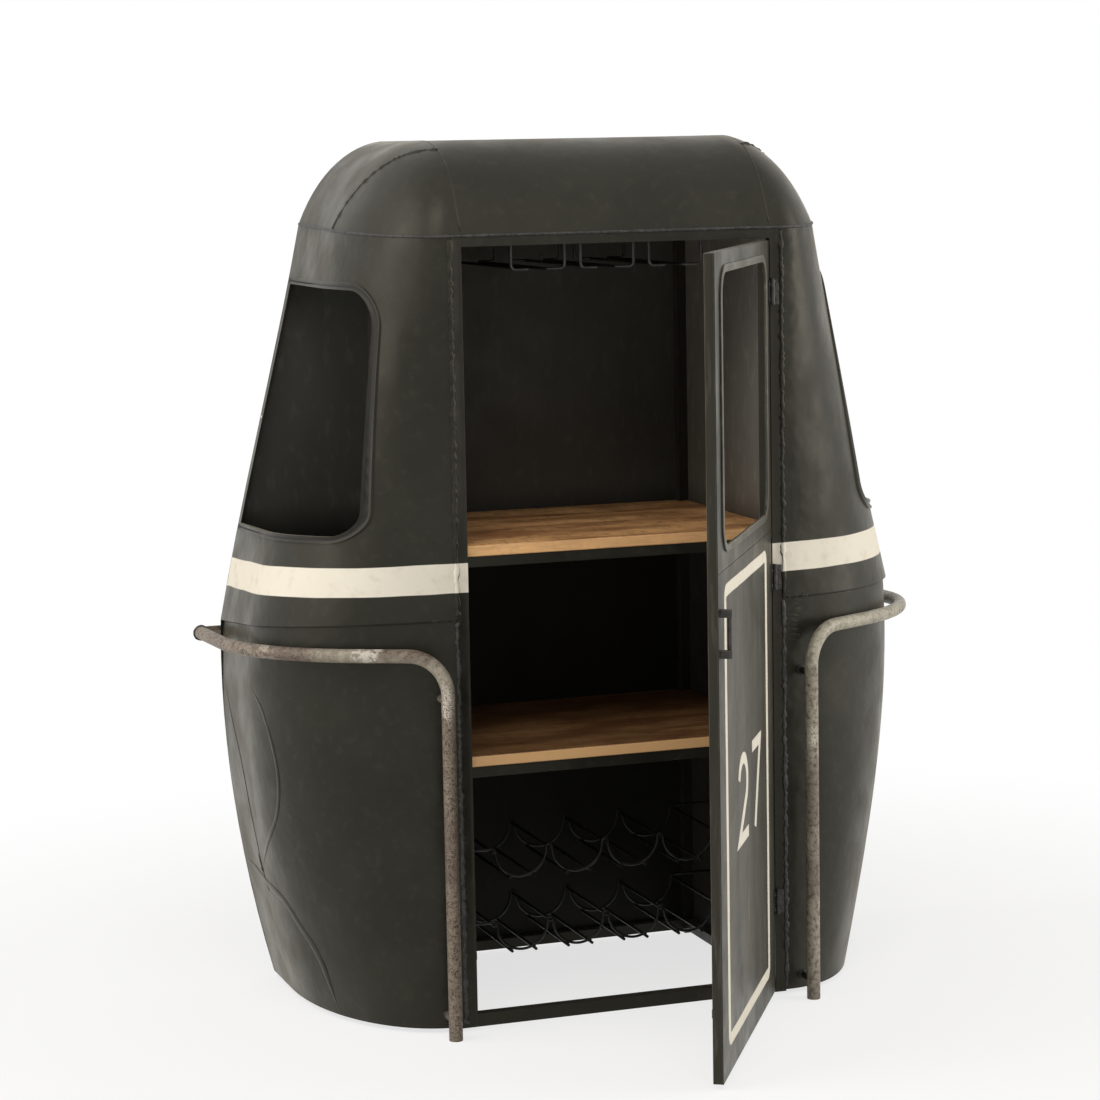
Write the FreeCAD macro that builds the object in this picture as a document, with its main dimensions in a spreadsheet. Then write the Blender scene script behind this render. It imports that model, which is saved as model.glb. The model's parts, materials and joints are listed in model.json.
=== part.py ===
import FreeCAD, Part
import math
import os
import Sketcher

from FreeCAD import Placement, Rotation, Vector

doc = FreeCAD.newDocument("bar_cabinet")

# Driving sizes in millimetres, degrees for angles
SIZES = (
    ("opening_width", 520, "clear width of the doorway"),
    ("head_underside", 1253, "height of the head rail's underside"),
    ("frame_tube", 17, "square tube of the frame"),
    ("tube_wall", 1.5, "wall of every square tube"),
    ("foot_gap", 8, "air under jambs, shells and panels"),
    ("cabinet_depth", 450, "front of the door frame to the back panel"),
    ("sheet", 2, "sheet of shells, roof, back and liners"),
    ("sill_height", 22, "height of the sill rail"),
    ("liner_step", 9, "outer face of a jamb to the inside of a liner"),
    ("strip_width", 8, "flat strip of shell beside a jamb"),
    ("foot_flare", 207, "reach of the shell beyond the jamb at the hem"),
    ("foot_turn", 325, "depth at which the hem turns straight back"),
    ("low_height", 245, "height of the second shell section"),
    ("low_flare", 256, "reach of the second shell section"),
    ("low_turn", 295, "depth at which it turns straight back"),
    ("left_low_droop", 8, "fall of that section to the back, left shell"),
    ("right_low_droop", 1, "fall of that section to the back, right shell"),
    ("belly_height", 470, "height of the belly section"),
    ("belly_flare", 279, "reach of the belly section"),
    ("belly_turn", 268, "depth at which it turns straight back"),
    ("left_belly_droop", 25, "fall of that section to the back, left shell"),
    ("right_belly_droop", 2, "fall of that section to the back, right shell"),
    ("lap_height", 669, "lower rim of the upper shell at the jamb"),
    ("left_lap_droop", 45, "fall of the rim to the back, left shell"),
    ("right_lap_droop", 4, "fall of the rim to the back, right shell"),
    ("lap_overlap", 12, "how far the lower shell runs up behind the rim"),
    ("lap_flare", 280.5, "reach of the rim"),
    ("lap_step", 3, "how far the rim stands proud of the jamb"),
    ("neck_flare", 274, "reach of the lower shell's upper edge"),
    ("shell_turn", 255, "depth at which the upper shell turns straight back"),
    ("shoulder_rise", 88, "shoulder section above the rim"),
    ("shoulder_flare", 258, "reach of the shoulder section"),
    ("left_shoulder_droop", 28, "fall of that section to the back, left shell"),
    ("right_shoulder_droop", 3, "fall of that section to the back, right shell"),
    ("mid_rise", 308, "window section above the rim"),
    ("mid_flare", 199, "reach of the window section"),
    ("left_mid_droop", 5, "fall of that section to the back, left shell"),
    ("right_mid_droop", 1, "fall of that section to the back, right shell"),
    ("seam_flare", 125, "reach of the roof seam"),
    ("seam_rise", 14, "climb of the roof seam from front to back"),
    ("left_window_front", 34, "depth of the left window's front edge at its sill"),
    ("right_window_front", 68, "depth of the right window's front edge at its sill"),
    ("window_lean", 21, "how much deeper that edge lies at its top"),
    ("window_sill", 794, "side window's lower edge near the front"),
    ("window_droop", 17, "fall of that edge from front to back"),
    ("window_drop", 73, "roof seam down to the side window's upper edge"),
    ("window_top_radius", 75, "upper corner of the side window"),
    ("window_low_radius", 50, "lower corner of the side window"),
    ("rear_strip", 14, "strip of shell behind the side window"),
    ("trim_width", 11, "face width of the window trims"),
    ("trim_proud", 3.5, "how far a window trim stands off the sheet"),
    ("trim_back", 1, "how far a side window's trim stands inside the sheet"),
    ("roof_rise", 148, "roof seam to the flat top"),
    ("roof_lean_angle", 31, "angle at which the roof's curve starts at the seam"),
    ("roof_crown_angle", 84, "angle at which the roof's curve meets the flat top"),
    ("roof_top_margin", 2, "flat top beyond the doorway on each side"),
    ("roof_setback", 150, "doorway to the front edge of the flat top"),
    ("roof_corner", 40, "corner of the flat top, sideways"),
    ("roof_corner_depth", 60, "corner of the flat top, front to back"),
    ("hip_apex", 112, "depth at which the corner gore ends in a point"),
    ("hip_foot", 240, "depth of the corner gore's rear foot"),
    ("board_thickness", 18, "wooden shelf board"),
    ("upper_shelf", 782, "top of the upper shelf board"),
    ("lower_shelf", 443, "top of the lower shelf board"),
    ("shelf_front", 20, "front edge of a shelf board"),
    ("bar_inset", 2, "shelf board's edge overhanging its front bar"),
    ("board_gap", 1, "gap between a shelf board and the frame"),
    ("stem_rod", 5, "wire of the stemware rails"),
    ("stem_pitch", 117, "one stemware pair to the next"),
    ("stem_legs", 90, "distance between the legs of a pair"),
    ("stem_slot", 24, "clear slot of a pair"),
    ("stem_drop", 40, "length of a stemware leg"),
    ("stem_bend", 8, "bend of the stemware rails"),
    ("stem_front", 52, "depth of the front legs"),
    ("stem_back", 43, "rear legs to the back panel"),
    ("stem_bar_width", 14, "width of a stemware bar"),
    ("stem_bar_thickness", 6, "thickness of a stemware bar"),
    ("rack_wire", 4.5, "scalloped wire of the wine rack"),
    ("rack_rod", 5, "rod of the wine rack"),
    ("rack_front", 106, "depth of the rack's front wires"),
    ("rack_reach", 194, "front wires to rear wires"),
    ("rack_pitch", 98, "one loop of a rack wire to the next"),
    ("rod_overrun", 8, "rack rod beyond its wires"),
    ("rod_angle", 25, "rods under a loop, measured from its lowest point"),
    ("lower_tier", 94, "underside of the lower tier's loops"),
    ("upper_tier", 217, "underside of the upper tier's loops"),
    ("weld_gap", 0.1, "gap filled by weld metal"),
    ("rail_diameter", 22, "handrail tube"),
    ("rail_wall", 2, "wall of the handrail tube"),
    ("post_step", 33, "outer face of a jamb to the axis of a handrail post"),
    ("post_forward", 40, "handrail post in front of the door frame"),
    ("rail_height", 618, "axis of the level handrail run"),
    ("rail_bend", 62, "bend at the top of a handrail post"),
    ("rail_angle", 27.5, "handrail run turned back from the door frame"),
    ("rail_reach", 315, "outer face of a jamb to the handrail's straight end"),
    ("rail_curve", 290, "wide bend of the handrail round the shell"),
    ("rail_droop", 14, "fall of the handrail from its wide bend to its rear end"),
    ("standoff_diameter", 12, "round bar between a post and the shell"),
    ("standoff_low", 30, "height of the lower standoff"),
    ("standoff_high", 545, "height of the upper standoff"),
    ("tab_height", 20, "height of a handrail's rear tab"),
    ("tab_thickness", 4, "thickness of a handrail's rear tab"),
    ("tab_overlap", 30, "rear tab lying on the back panel"),
    ("tab_inset", 5, "rear tab kept inside the outline of the handrail"),
    ("door_open_angle", 58.1, "opening angle of the door as shown"),
    ("door_gap", 2, "gap beside the closed door"),
    ("door_head_gap", 4, "gap above the closed door"),
    ("door_foot", 9, "height of the door's lower edge"),
    ("door_rest", 1, "closed door to the sill rail"),
    ("skin", 1.5, "sheet of the door skins"),
    ("door_tube", 20, "face width of the door's tubes"),
    ("door_seam", 779, "height of the joint between the door skins"),
    ("seam_gap", 1, "gap between the door skins"),
    ("door_window_margin", 48, "door edge to window, both sides"),
    ("door_window_sill", 814, "height of the door window's lower edge"),
    ("door_window_drop", 31, "door's top edge down to the window"),
    ("door_window_radius", 35, "corner of the door window"),
    ("lug_width", 10, "handle lug along the door"),
    ("lug_height", 12, "handle lug upward"),
    ("lug_proud", 19, "handle lug off the door"),
    ("lug_inset", 13, "door's free edge to the middle of a lug"),
    ("lug_low", 660, "middle of the lower lug"),
    ("lug_spacing", 61, "lower lug to upper lug"),
    ("grip_diameter", 7, "handle grip"),
    ("grip_edge", 1, "grip kept back from the outer end of the lugs"),
    ("hinge_step", 2, "edge of the doorway to the hinge axis"),
    ("hinge_forward", 5, "hinge axis in front of the door frame"),
    ("hinge_length", 40, "length of a hinge"),
    ("hinge_low", 160, "middle of the lower hinge"),
    ("hinge_mid", 702, "middle of the middle hinge"),
    ("hinge_high", 1166, "middle of the upper hinge"),
    ("knuckle", 9, "diameter of the hinge knuckles"),
    ("knuckle_gap", 0.3, "running gap between hinge halves"),
    ("leaf", 2, "thickness of a hinge leaf"),
    ("leaf_width", 13, "width of a hinge leaf from the axis"),
    ("pin", 4, "diameter of a hinge pin"),
    ("pin_gap", 0.05, "running gap round a hinge pin"),
    ("pin_head", 7, "diameter of a pin head"),
    ("pin_head_height", 2, "height of a pin head"),
    ("catch_height", 13, "height of the door catch"),
    ("catch_depth", 8, "depth of the door catch"),
    ("catch_low", 111, "underside of the door catch"),
    ("catch_reach", 6, "door catch beyond the edge of the doorway"),
    ("strike", 0.7, "thickness of the strike plate"),
    ("strike_width", 14, "width of the strike plate"),
)
sheet_of_sizes = doc.addObject("Spreadsheet::Sheet", "Sizes")
for row, (alias, value, note) in enumerate(SIZES, 1):
    sheet_of_sizes.set("A%d" % row, str(value))
    sheet_of_sizes.setAlias("A%d" % row, alias)
    sheet_of_sizes.set("B%d" % row, note)
doc.recompute()

# Places that follow from the driving sizes and that several pieces share
LINKS = (
    ("half", "Sizes.opening_width / 2"),
    ("jamb_out", "Sizes.opening_width / 2 + Sizes.frame_tube"),
    ("liner_in", "Sizes.opening_width / 2 + Sizes.frame_tube + Sizes.liner_step"),
    ("side_in", "Sizes.opening_width / 2 + Sizes.liner_step"),
    ("head_top", "Sizes.head_underside + Sizes.frame_tube"),
    ("rear_in", "Sizes.cabinet_depth - Sizes.frame_tube"),
    ("hinge_x", "Sizes.opening_width / 2 + Sizes.hinge_step"),
    ("door_edge", "Sizes.hinge_step + Sizes.door_gap"),
    ("door_end", "Sizes.hinge_step + Sizes.opening_width - Sizes.door_gap"),
    ("door_face", "Sizes.hinge_forward"),
    ("door_back", "Sizes.hinge_forward + Sizes.frame_tube - Sizes.door_rest"),
    ("door_top", "Sizes.head_underside - Sizes.door_head_gap"),
)
derived = doc.addObject("App::VarSet", "Derived")
for name, text in LINKS:
    derived.addProperty("App::PropertyFloat", name)
    derived.setExpression(name, text)
doc.recompute()


def size(name):
    return float(sheet_of_sizes.get(name))


def place(name):
    return float(getattr(derived, name))


nodes = []


def box(name, x0, x1, y0, y1, z0, z1):
    """A box between two corners, every side bound to the sheet."""
    solid = doc.addObject("Part::Box", name)
    solid.setExpression("Length", "(%s) - (%s)" % (x1, x0))
    solid.setExpression("Width", "(%s) - (%s)" % (y1, y0))
    solid.setExpression("Height", "(%s) - (%s)" % (z1, z0))
    solid.setExpression("Placement.Base.x", x0)
    solid.setExpression("Placement.Base.y", y0)
    solid.setExpression("Placement.Base.z", z0)
    return solid


def cut(name, base, tool):
    result = doc.addObject("Part::Cut", name)
    result.Base = base
    result.Tool = tool
    return result


def fuse(name, pieces):
    result = doc.addObject("Part::MultiFuse", name)
    result.Shapes = pieces
    result.Refine = True
    return result


def tube(name, along, x0, x1, y0, y1, z0, z1):
    """A square tube, open at both ends, running along one axis."""
    wall = "Sizes.tube_wall"
    bore = [x0, x1, y0, y1, z0, z1]
    for number, axis in enumerate("xyz"):
        if axis != along:
            bore[2 * number] = "(%s) + %s" % (bore[2 * number], wall)
            bore[2 * number + 1] = "(%s) - %s" % (bore[2 * number + 1], wall)
    return cut(name, box(name + "_outside", x0, x1, y0, y1, z0, z1), box(name + "_bore", *bore))


def keep(solid, name):
    """Register a finished sub-part under the name of its file."""
    solid.Label = name
    nodes.append(solid)
    return solid


def feature(name, shape):
    """A sub-part whose shape is worked out here from the sheet."""
    solid = doc.addObject("Part::Feature", name)
    solid.Shape = shape
    return keep(solid, name)


def across(sign, near, far):
    """Left or right span of X, from a near and a far distance off the middle."""
    if sign > 0:
        return near, far
    return "-(%s)" % far, "-(%s)" % near


SIDES = (("left", -1), ("right", 1))
S = "Sizes."
D = "Derived."

# Door frame and the box frame behind it
for side, sign in SIDES:
    jamb = across(sign, D + "half", D + "jamb_out")
    keep(tube(side + "_jamb", "z", *jamb, "0", S + "frame_tube", S + "foot_gap", D + "head_top"), side + "_jamb")
    corner = across(sign, D + "side_in", D + "liner_in")
    keep(tube(side + "_rear_post", "z", *corner, D + "rear_in", S + "cabinet_depth", "0", D + "head_top"),
         side + "_rear_post")
    keep(tube(side + "_top_rail", "y", *corner, S + "frame_tube", D + "rear_in",
              S + "head_underside", D + "head_top"), side + "_top_rail")
    keep(tube(side + "_bottom_rail", "y", *corner, "2 * Sizes.frame_tube", D + "rear_in", S + "foot_gap",
              "Sizes.foot_gap + Sizes.frame_tube"), side + "_bottom_rail")

doorway = ("-" + D + "half", D + "half")
inside = ("-" + D + "side_in", D + "side_in")
full = ("-" + D + "liner_in", D + "liner_in")
keep(tube("head_rail", "x", *doorway, "0", S + "frame_tube", S + "head_underside", D + "head_top"), "head_rail")
keep(tube("sill_rail", "x", *full, S + "frame_tube", "2 * Sizes.frame_tube", "0", S + "sill_height"), "sill_rail")
keep(tube("rear_top_rail", "x", *inside, D + "rear_in", S + "cabinet_depth", S + "head_underside", D + "head_top"),
     "rear_top_rail")
keep(tube("rear_bottom_rail", "x", *inside, D + "rear_in", S + "cabinet_depth", S + "foot_gap",
          "Sizes.foot_gap + Sizes.frame_tube"), "rear_bottom_rail")

# Liners: side sheets with a flange folded in to the jamb
for side, sign in SIDES:
    name = side + "_liner"
    sheet_x = across(sign, D + "liner_in", "Derived.liner_in + Sizes.sheet")
    panel = box(name + "_sheet", *sheet_x, "Sizes.frame_tube - Sizes.sheet", S + "cabinet_depth",
                S + "foot_gap", D + "head_top")
    flange_x = across(sign, D + "jamb_out", D + "liner_in")
    flange = box(name + "_flange", *flange_x, "Sizes.frame_tube - Sizes.sheet", S + "frame_tube",
                 S + "foot_gap", D + "head_top")
    keep(fuse(name, [panel, flange]), name)

# Shelves: a notched board on a front bar and a U of bearers
for level in ("upper", "lower"):
    top = "Sizes.%s_shelf" % level
    under = "%s - Sizes.board_thickness" % top
    name = level + "_shelf_board"
    slab = box(name + "_slab", "-(Derived.liner_in - Sizes.board_gap)", "Derived.liner_in - Sizes.board_gap",
               S + "shelf_front", "Sizes.cabinet_depth - Sizes.board_gap", under, top)
    notches = []
    for side, sign in SIDES:
        notch_x = across(sign, "Derived.side_in - Sizes.board_gap", "Derived.liner_in + Sizes.board_gap")
        notches.append(box("%s_%s_notch" % (name, side), *notch_x, "Derived.rear_in - Sizes.board_gap",
                           "Sizes.cabinet_depth + Sizes.board_gap", under, top))
    keep(cut(name, slab, fuse(name + "_notches", notches)), name)

    low = "%s - Sizes.frame_tube" % under
    front = "Sizes.shelf_front + Sizes.bar_inset"
    behind = "%s + Sizes.frame_tube" % front
    name = level + "_shelf_front_bar"
    keep(tube(name, "x", *full, front, behind, low, under), name)
    name = level + "_shelf_bearers"
    arms = []
    for side, sign in SIDES:
        arm_x = across(sign, D + "side_in", D + "liner_in")
        arms.append(tube("%s_%s_arm" % (name, side), "y", *arm_x, behind, D + "rear_in", low, under))
    arms.append(tube(name + "_rear", "x", *inside, "Derived.rear_in - Sizes.frame_tube", D + "rear_in", low, under))
    keep(fuse(name, arms), name)

# Stemware: cross bars between the side top rails
stem_rear = "Sizes.cabinet_depth - Sizes.stem_back"
for which, middle in (("front", "Sizes.stem_front"), ("rear", stem_rear)):
    name = "stemware_%s_bar" % which
    keep(box(name, *inside, "%s - Sizes.stem_bar_width / 2" % middle, "%s + Sizes.stem_bar_width / 2" % middle,
             S + "head_underside", "Sizes.head_underside + Sizes.stem_bar_thickness"), name)

# Door catch behind the left jamb
keep(box("door_catch", "-" + D + "jamb_out", "-Derived.half + Sizes.catch_reach", S + "frame_tube",
         "Sizes.frame_tube + Sizes.catch_depth", S + "catch_low", "Sizes.catch_low + Sizes.catch_height"), "door_catch")


# Shapes bent or beaten from sheet, tube and wire
def straight(start, end):
    return Part.makeLine(start, end)


def rounded_path(points, radii, closed=False):
    """Straight runs joined by tangent arcs."""
    edges = []
    first = None
    last = None
    count = len(points)
    for number, (point, radius) in enumerate(zip(points, radii)):
        entry = point
        leave = point
        arc = None
        if radius > 0:
            back = (points[number - 1] - point).normalize()
            ahead = (points[(number + 1) % count] - point).normalize()
            half_angle = back.getAngle(ahead) / 2
            inward = (back + ahead).normalize()
            run = radius / math.tan(half_angle)
            middle = point + inward * (radius / math.sin(half_angle) - radius)
            entry = point + back * run
            leave = point + ahead * run
            arc = Part.Arc(entry, middle, leave).toShape()
        if last is not None:
            edges.append(straight(last, entry))
        else:
            first = entry
        if arc is not None:
            edges.append(arc)
        last = leave
    if closed:
        edges.append(straight(last, first))
    return edges


def pipe(edges, radius):
    """A round bar along a path whose first edge is straight."""
    start = edges[0].valueAt(edges[0].FirstParameter)
    heading = edges[0].tangentAt(edges[0].FirstParameter)
    ring = Part.Wire(Part.makeCircle(radius, start, heading))
    return Part.Wire(edges).makePipeShell([ring], True, False)


def mirrored(shape, sign):
    """The shape itself on the right, its mirror image on the left."""
    if sign > 0:
        return shape.copy()
    return shape.mirror(Vector(0, 0, 0), Vector(1, 0, 0))


depth = size("cabinet_depth")
jamb_out = place("jamb_out")
head_top = place("head_top")
strip = jamb_out + size("strip_width")
sheet = size("sheet")
lap = size("lap_height")

# Shell sections: front of the section, reach, turn, height at the jamb, fall to the back
def lower_sections(side):
    return (
        (0.0, size("foot_flare"), size("foot_turn"), size("foot_gap"), 0.0),
        (0.0, size("low_flare"), size("low_turn"), size("low_height"), size(side + "_low_droop")),
        (0.0, size("belly_flare"), size("belly_turn"), size("belly_height"), size(side + "_belly_droop")),
        (0.0, size("neck_flare"), size("shell_turn"), lap + size("lap_overlap"), size(side + "_lap_droop")),
    )


def upper_sections(side):
    turn = size("shell_turn")
    return (
        (-size("lap_step"), size("lap_flare"), turn, lap, size(side + "_lap_droop")),
        (0.0, size("shoulder_flare"), turn, lap + size("shoulder_rise"), size(side + "_shoulder_droop")),
        (0.0, size("mid_flare"), turn, lap + size("mid_rise"), size(side + "_mid_droop")),
        (0.0, size("seam_flare"), turn, head_top, -size("seam_rise")),
    )


def wall_edges(section, grow):
    """Jamb, quarter ellipse round the corner, straight run to the back."""
    front, flare, turn, height, droop = section
    front = front - grow
    wide = jamb_out + flare + grow

    def at(x, y):
        return Vector(x, y, height - droop * y / depth)

    bend = Part.BezierCurve()
    bend.setPoles([at(strip, front), at(wide, front), at(wide, turn)])
    bend.setWeight(2, math.sqrt(0.5))
    return [straight(at(jamb_out, front), at(strip, front)), bend.toShape(), straight(at(wide, turn), at(wide, depth))]


def band(sections, outside, inside_offset):
    """Sheet wall between two offsets of the same sections."""
    wires = []
    for section in sections:
        outer = wall_edges(section, outside)
        inner = wall_edges(section, inside_offset)
        rear = straight(outer[2].Vertexes[1].Point, inner[2].Vertexes[1].Point)
        front = straight(inner[0].Vertexes[0].Point, outer[0].Vertexes[0].Point)
        wires.append(Part.Wire(outer + [rear] + inner[::-1] + [front]))
    return Part.makeLoft(wires, True, False)


def filled(sections, outside):
    """Everything between the jamb line and the outside of the sections."""
    wires = []
    for section in sections:
        outer = wall_edges(section, outside)
        begin = outer[0].Vertexes[0].Point
        end = outer[2].Vertexes[1].Point
        corner = Vector(begin.x, end.y, end.z)
        wires.append(Part.Wire(outer + [straight(end, corner), straight(corner, begin)]))
    return Part.makeLoft(wires, True, False)


def window_prism(side, inset, run):
    """Side window outline pushed through the shell sideways."""
    front = size(side + "_window_front") + inset
    rear = depth - size("rear_strip") + run
    top = head_top - size("window_drop") - inset
    sill = size("window_sill") + inset
    slope = size("window_droop") / depth
    x = jamb_out
    points = [
        Vector(x, rear, top),
        Vector(x, front + size("window_lean"), top),
        Vector(x, front, sill - slope * front),
        Vector(x, rear, sill - slope * rear),
    ]
    radii = [0, size("window_top_radius") - inset, size("window_low_radius") - inset, 0]
    outline = Part.Wire(rounded_path(points, radii, True))
    return Part.Face(outline).extrude(Vector(2 * size("lap_flare"), 0, 0))


for side, sign in SIDES:
    upper = upper_sections(side)
    opening = window_prism(side, 0.0, 0.0)
    ring = opening.cut(window_prism(side, size("trim_width"), size("trim_width")))
    trim = band(upper, size("trim_proud"), -sheet - size("trim_back")).common(ring)
    feature(side + "_lower_shell", mirrored(band(lower_sections(side), 0.0, -sheet), sign))
    feature(side + "_upper_shell", mirrored(band(upper, 0.0, -sheet).cut(opening), sign))
    feature(side + "_window_trim", mirrored(trim, sign))

# Roof: a dome with a flat top, open below and at the back, cut along its seams into five panels
half = place("half")
roof_wide = jamb_out + size("seam_flare")
top_wide = half + size("roof_top_margin")
top_strip = top_wide - size("roof_corner")
setback = size("roof_setback")
top_turn = setback + size("roof_corner_depth")
ROOF_STEPS = (0.0, 0.25, 0.5, 0.75, 1.0)


def roof_curve(step):
    """Share of the roof's overhang and of its rise at a step along the curve."""
    start = math.radians(size("roof_lean_angle"))
    end = math.radians(size("roof_crown_angle"))
    angle = start + (end - start) * step
    overhang = (math.cos(angle) - math.cos(end)) / (math.cos(start) - math.cos(end))
    return overhang, (math.sin(angle) - math.sin(start)) / (math.sin(end) - math.sin(start))


def roof_wire(step, inset, rear):
    """Outline of the roof part way up its curve."""
    lean, lift = roof_curve(step)
    wide = top_wide + (roof_wide - top_wide) * lean - inset
    begin = top_strip + (strip - top_strip) * lean
    front = setback * (1 - lean) + inset
    turn = top_turn + (size("shell_turn") - top_turn) * lean
    climb = size("seam_rise") * (1 - lift) / depth
    base = head_top + (size("roof_rise") - inset) * lift

    def at(x, y):
        return Vector(x, y, base + climb * y)

    edges = []
    for sign in (1, -1):
        bend = Part.BezierCurve()
        bend.setPoles([at(sign * begin, front), at(sign * wide, front), at(sign * wide, turn)])
        bend.setWeight(2, math.sqrt(0.5))
        edges.append([bend.toShape(), straight(at(sign * wide, turn), at(sign * wide, rear))])
    front_edge = straight(at(-begin, front), at(begin, front))
    rear_edge = straight(at(wide, rear), at(-wide, rear))
    return Part.Wire([front_edge] + edges[0] + [rear_edge] + edges[1][::-1])


dome = Part.makeLoft([roof_wire(step, 0.0, depth) for step in ROOF_STEPS], True, False)
BELOW_SEAM = -0.05
hollow_steps = [roof_wire(step, sheet, depth + sheet) for step in (BELOW_SEAM,) + ROOF_STEPS]
roof = dome.cut(Part.makeLoft(hollow_steps, True, False))

ellipse = 1 - size("hip_foot") / size("shell_turn")
hip_x = strip + (roof_wide - strip) * math.sqrt(1 - ellipse * ellipse)
slope = (size("hip_foot") - size("hip_apex")) / (hip_x - half)
far = 2 * roof_wide
apex = Vector(half, size("hip_apex"), 0)
hip_end = Vector(far, size("hip_apex") + slope * (far - half), 0)


def roof_part(corners):
    """The roof inside a plan outline."""
    outline = Part.makePolygon(corners + [corners[0]])
    return roof.common(Part.Face(outline).extrude(Vector(0, 0, 2 * head_top)))


ahead = -setback
behind = depth + setback
centre = [Vector(-half, ahead, 0), Vector(half, ahead, 0), Vector(half, behind, 0), Vector(-half, behind, 0)]
gore = [Vector(half, ahead, 0), Vector(far, ahead, 0), hip_end, apex]
flank = [apex, hip_end, Vector(far, behind + far, 0), Vector(half, behind + far, 0)]
feature("roof_centre", roof_part(centre))
gore_panel = roof_part(gore)
flank_panel = roof_part(flank)
for side, sign in SIDES:
    feature("roof_%s_gore" % side, mirrored(gore_panel, sign))
    feature("roof_%s_side" % side, mirrored(flank_panel, sign))


# Back panel: follows the rear edges of shells and roof
def rear_point(section):
    front, flare, turn, height, droop = section
    return Vector(jamb_out + flare, depth, height - droop)


def roof_rear_point(step):
    lean, lift = roof_curve(step)
    height = head_top + size("roof_rise") * lift + size("seam_rise") * (1 - lift)
    return Vector(top_wide + (roof_wide - top_wide) * lean, depth, height)


def spline(points):
    curve = Part.BSplineCurve()
    curve.interpolate(points)
    return curve.toShape()


def flip(point):
    return Vector(-point.x, point.y, point.z)


def rear_profile(side):
    """Rear edge of one side from the hem to the flat top, in three curves."""
    upper = [rear_point(section) for section in upper_sections(side)]
    lower = [rear_point(section) for section in lower_sections(side)[:3]] + [upper[0]]
    return lower, upper, [roof_rear_point(step) for step in ROOF_STEPS]


right_profile = rear_profile("right")
left_profile = [[flip(point) for point in points] for points in rear_profile("left")]
foot = right_profile[0][0]
crown = right_profile[2][-1]
right_edges = [spline(points) for points in right_profile]
left_edges = [spline(points) for points in left_profile]
outline = [straight(flip(foot), foot)] + right_edges + [straight(crown, flip(crown))] + left_edges[::-1]
feature("back_panel", Part.Face(Part.Wire(outline)).extrude(Vector(0, sheet, 0)))

# Stemware rails: leg, bend inward, run to the back, and the same at the rear
stem_top = size("head_underside")
stem_low = stem_top - size("stem_drop")
stem_near = size("stem_front")
stem_far = depth - size("stem_back")
rails = []
for number in (-1, 0, 1):
    for sign in (-1, 1):
        leg = number * size("stem_pitch") + sign * size("stem_legs") / 2
        slot = number * size("stem_pitch") + sign * (size("stem_slot") + size("stem_rod")) / 2
        corners = [
            Vector(leg, stem_near, stem_top),
            Vector(leg, stem_near, stem_low),
            Vector(slot, stem_near, stem_low),
            Vector(slot, stem_far, stem_low),
            Vector(leg, stem_far, stem_low),
            Vector(leg, stem_far, stem_top),
        ]
        bend = size("stem_bend")
        rails.append(pipe(rounded_path(corners, [0, bend, bend, bend, bend, 0]), size("stem_rod") / 2))
feature("stemware_rails", Part.makeCompound(rails))

# Wine rack: each wire hangs in loops from liner to liner, over rods at the crests and on rods under the loops
LOOPS = 4
liner_in = place("liner_in")
pitch = size("rack_pitch")
crest = (size("rack_wire") + size("rack_rod")) / 2 + size("weld_gap")
loop = pitch / 2 - crest
first_crest = -pitch * LOOPS / 2
rack_rear = size("rack_front") + size("rack_reach")


def scallop(y, level):
    """Path of one rack wire from liner to liner."""
    def at(x, z):
        return Vector(x, y, level + z)

    lean = math.sqrt(0.5)
    edges = [straight(at(-liner_in, crest), at(first_crest, crest))]
    edges.append(Part.Arc(at(first_crest, crest), at(first_crest + crest * lean, crest * lean),
                          at(first_crest + crest, 0)).toShape())
    for number in range(LOOPS):
        middle = first_crest + (number + 0.5) * pitch
        edges.append(Part.Arc(at(middle - loop, 0), at(middle, -loop), at(middle + loop, 0)).toShape())
        over = first_crest + (number + 1) * pitch
        if number < LOOPS - 1:
            edges.append(Part.Arc(at(over - crest, 0), at(over, crest), at(over + crest, 0)).toShape())
        else:
            edges.append(Part.Arc(at(over - crest, 0), at(over - crest * lean, crest * lean),
                                  at(over, crest)).toShape())
            edges.append(straight(at(over, crest), at(liner_in, crest)))
    return edges


def rod(x, z):
    start = Vector(x, size("rack_front") - size("rod_overrun"), z)
    length = size("rack_reach") + 2 * size("rod_overrun")
    return Part.makeCylinder(size("rack_rod") / 2, length, start, Vector(0, 1, 0))


rod_turn = math.radians(size("rod_angle"))
for tier in ("lower", "upper"):
    level = size(tier + "_tier") + size("rack_wire") / 2 + loop
    feature(tier + "_rack_front_wire", pipe(scallop(size("rack_front"), level), size("rack_wire") / 2))
    feature(tier + "_rack_rear_wire", pipe(scallop(rack_rear, level), size("rack_wire") / 2))
    rods = [rod(first_crest + number * pitch, level) for number in range(LOOPS + 1)]
    for number in range(LOOPS):
        middle = first_crest + (number + 0.5) * pitch
        for turn in (-rod_turn, rod_turn):
            rods.append(rod(middle + (loop + crest) * math.sin(turn), level - (loop + crest) * math.cos(turn)))
    feature(tier + "_rack_rods", Part.makeCompound(rods))

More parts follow.
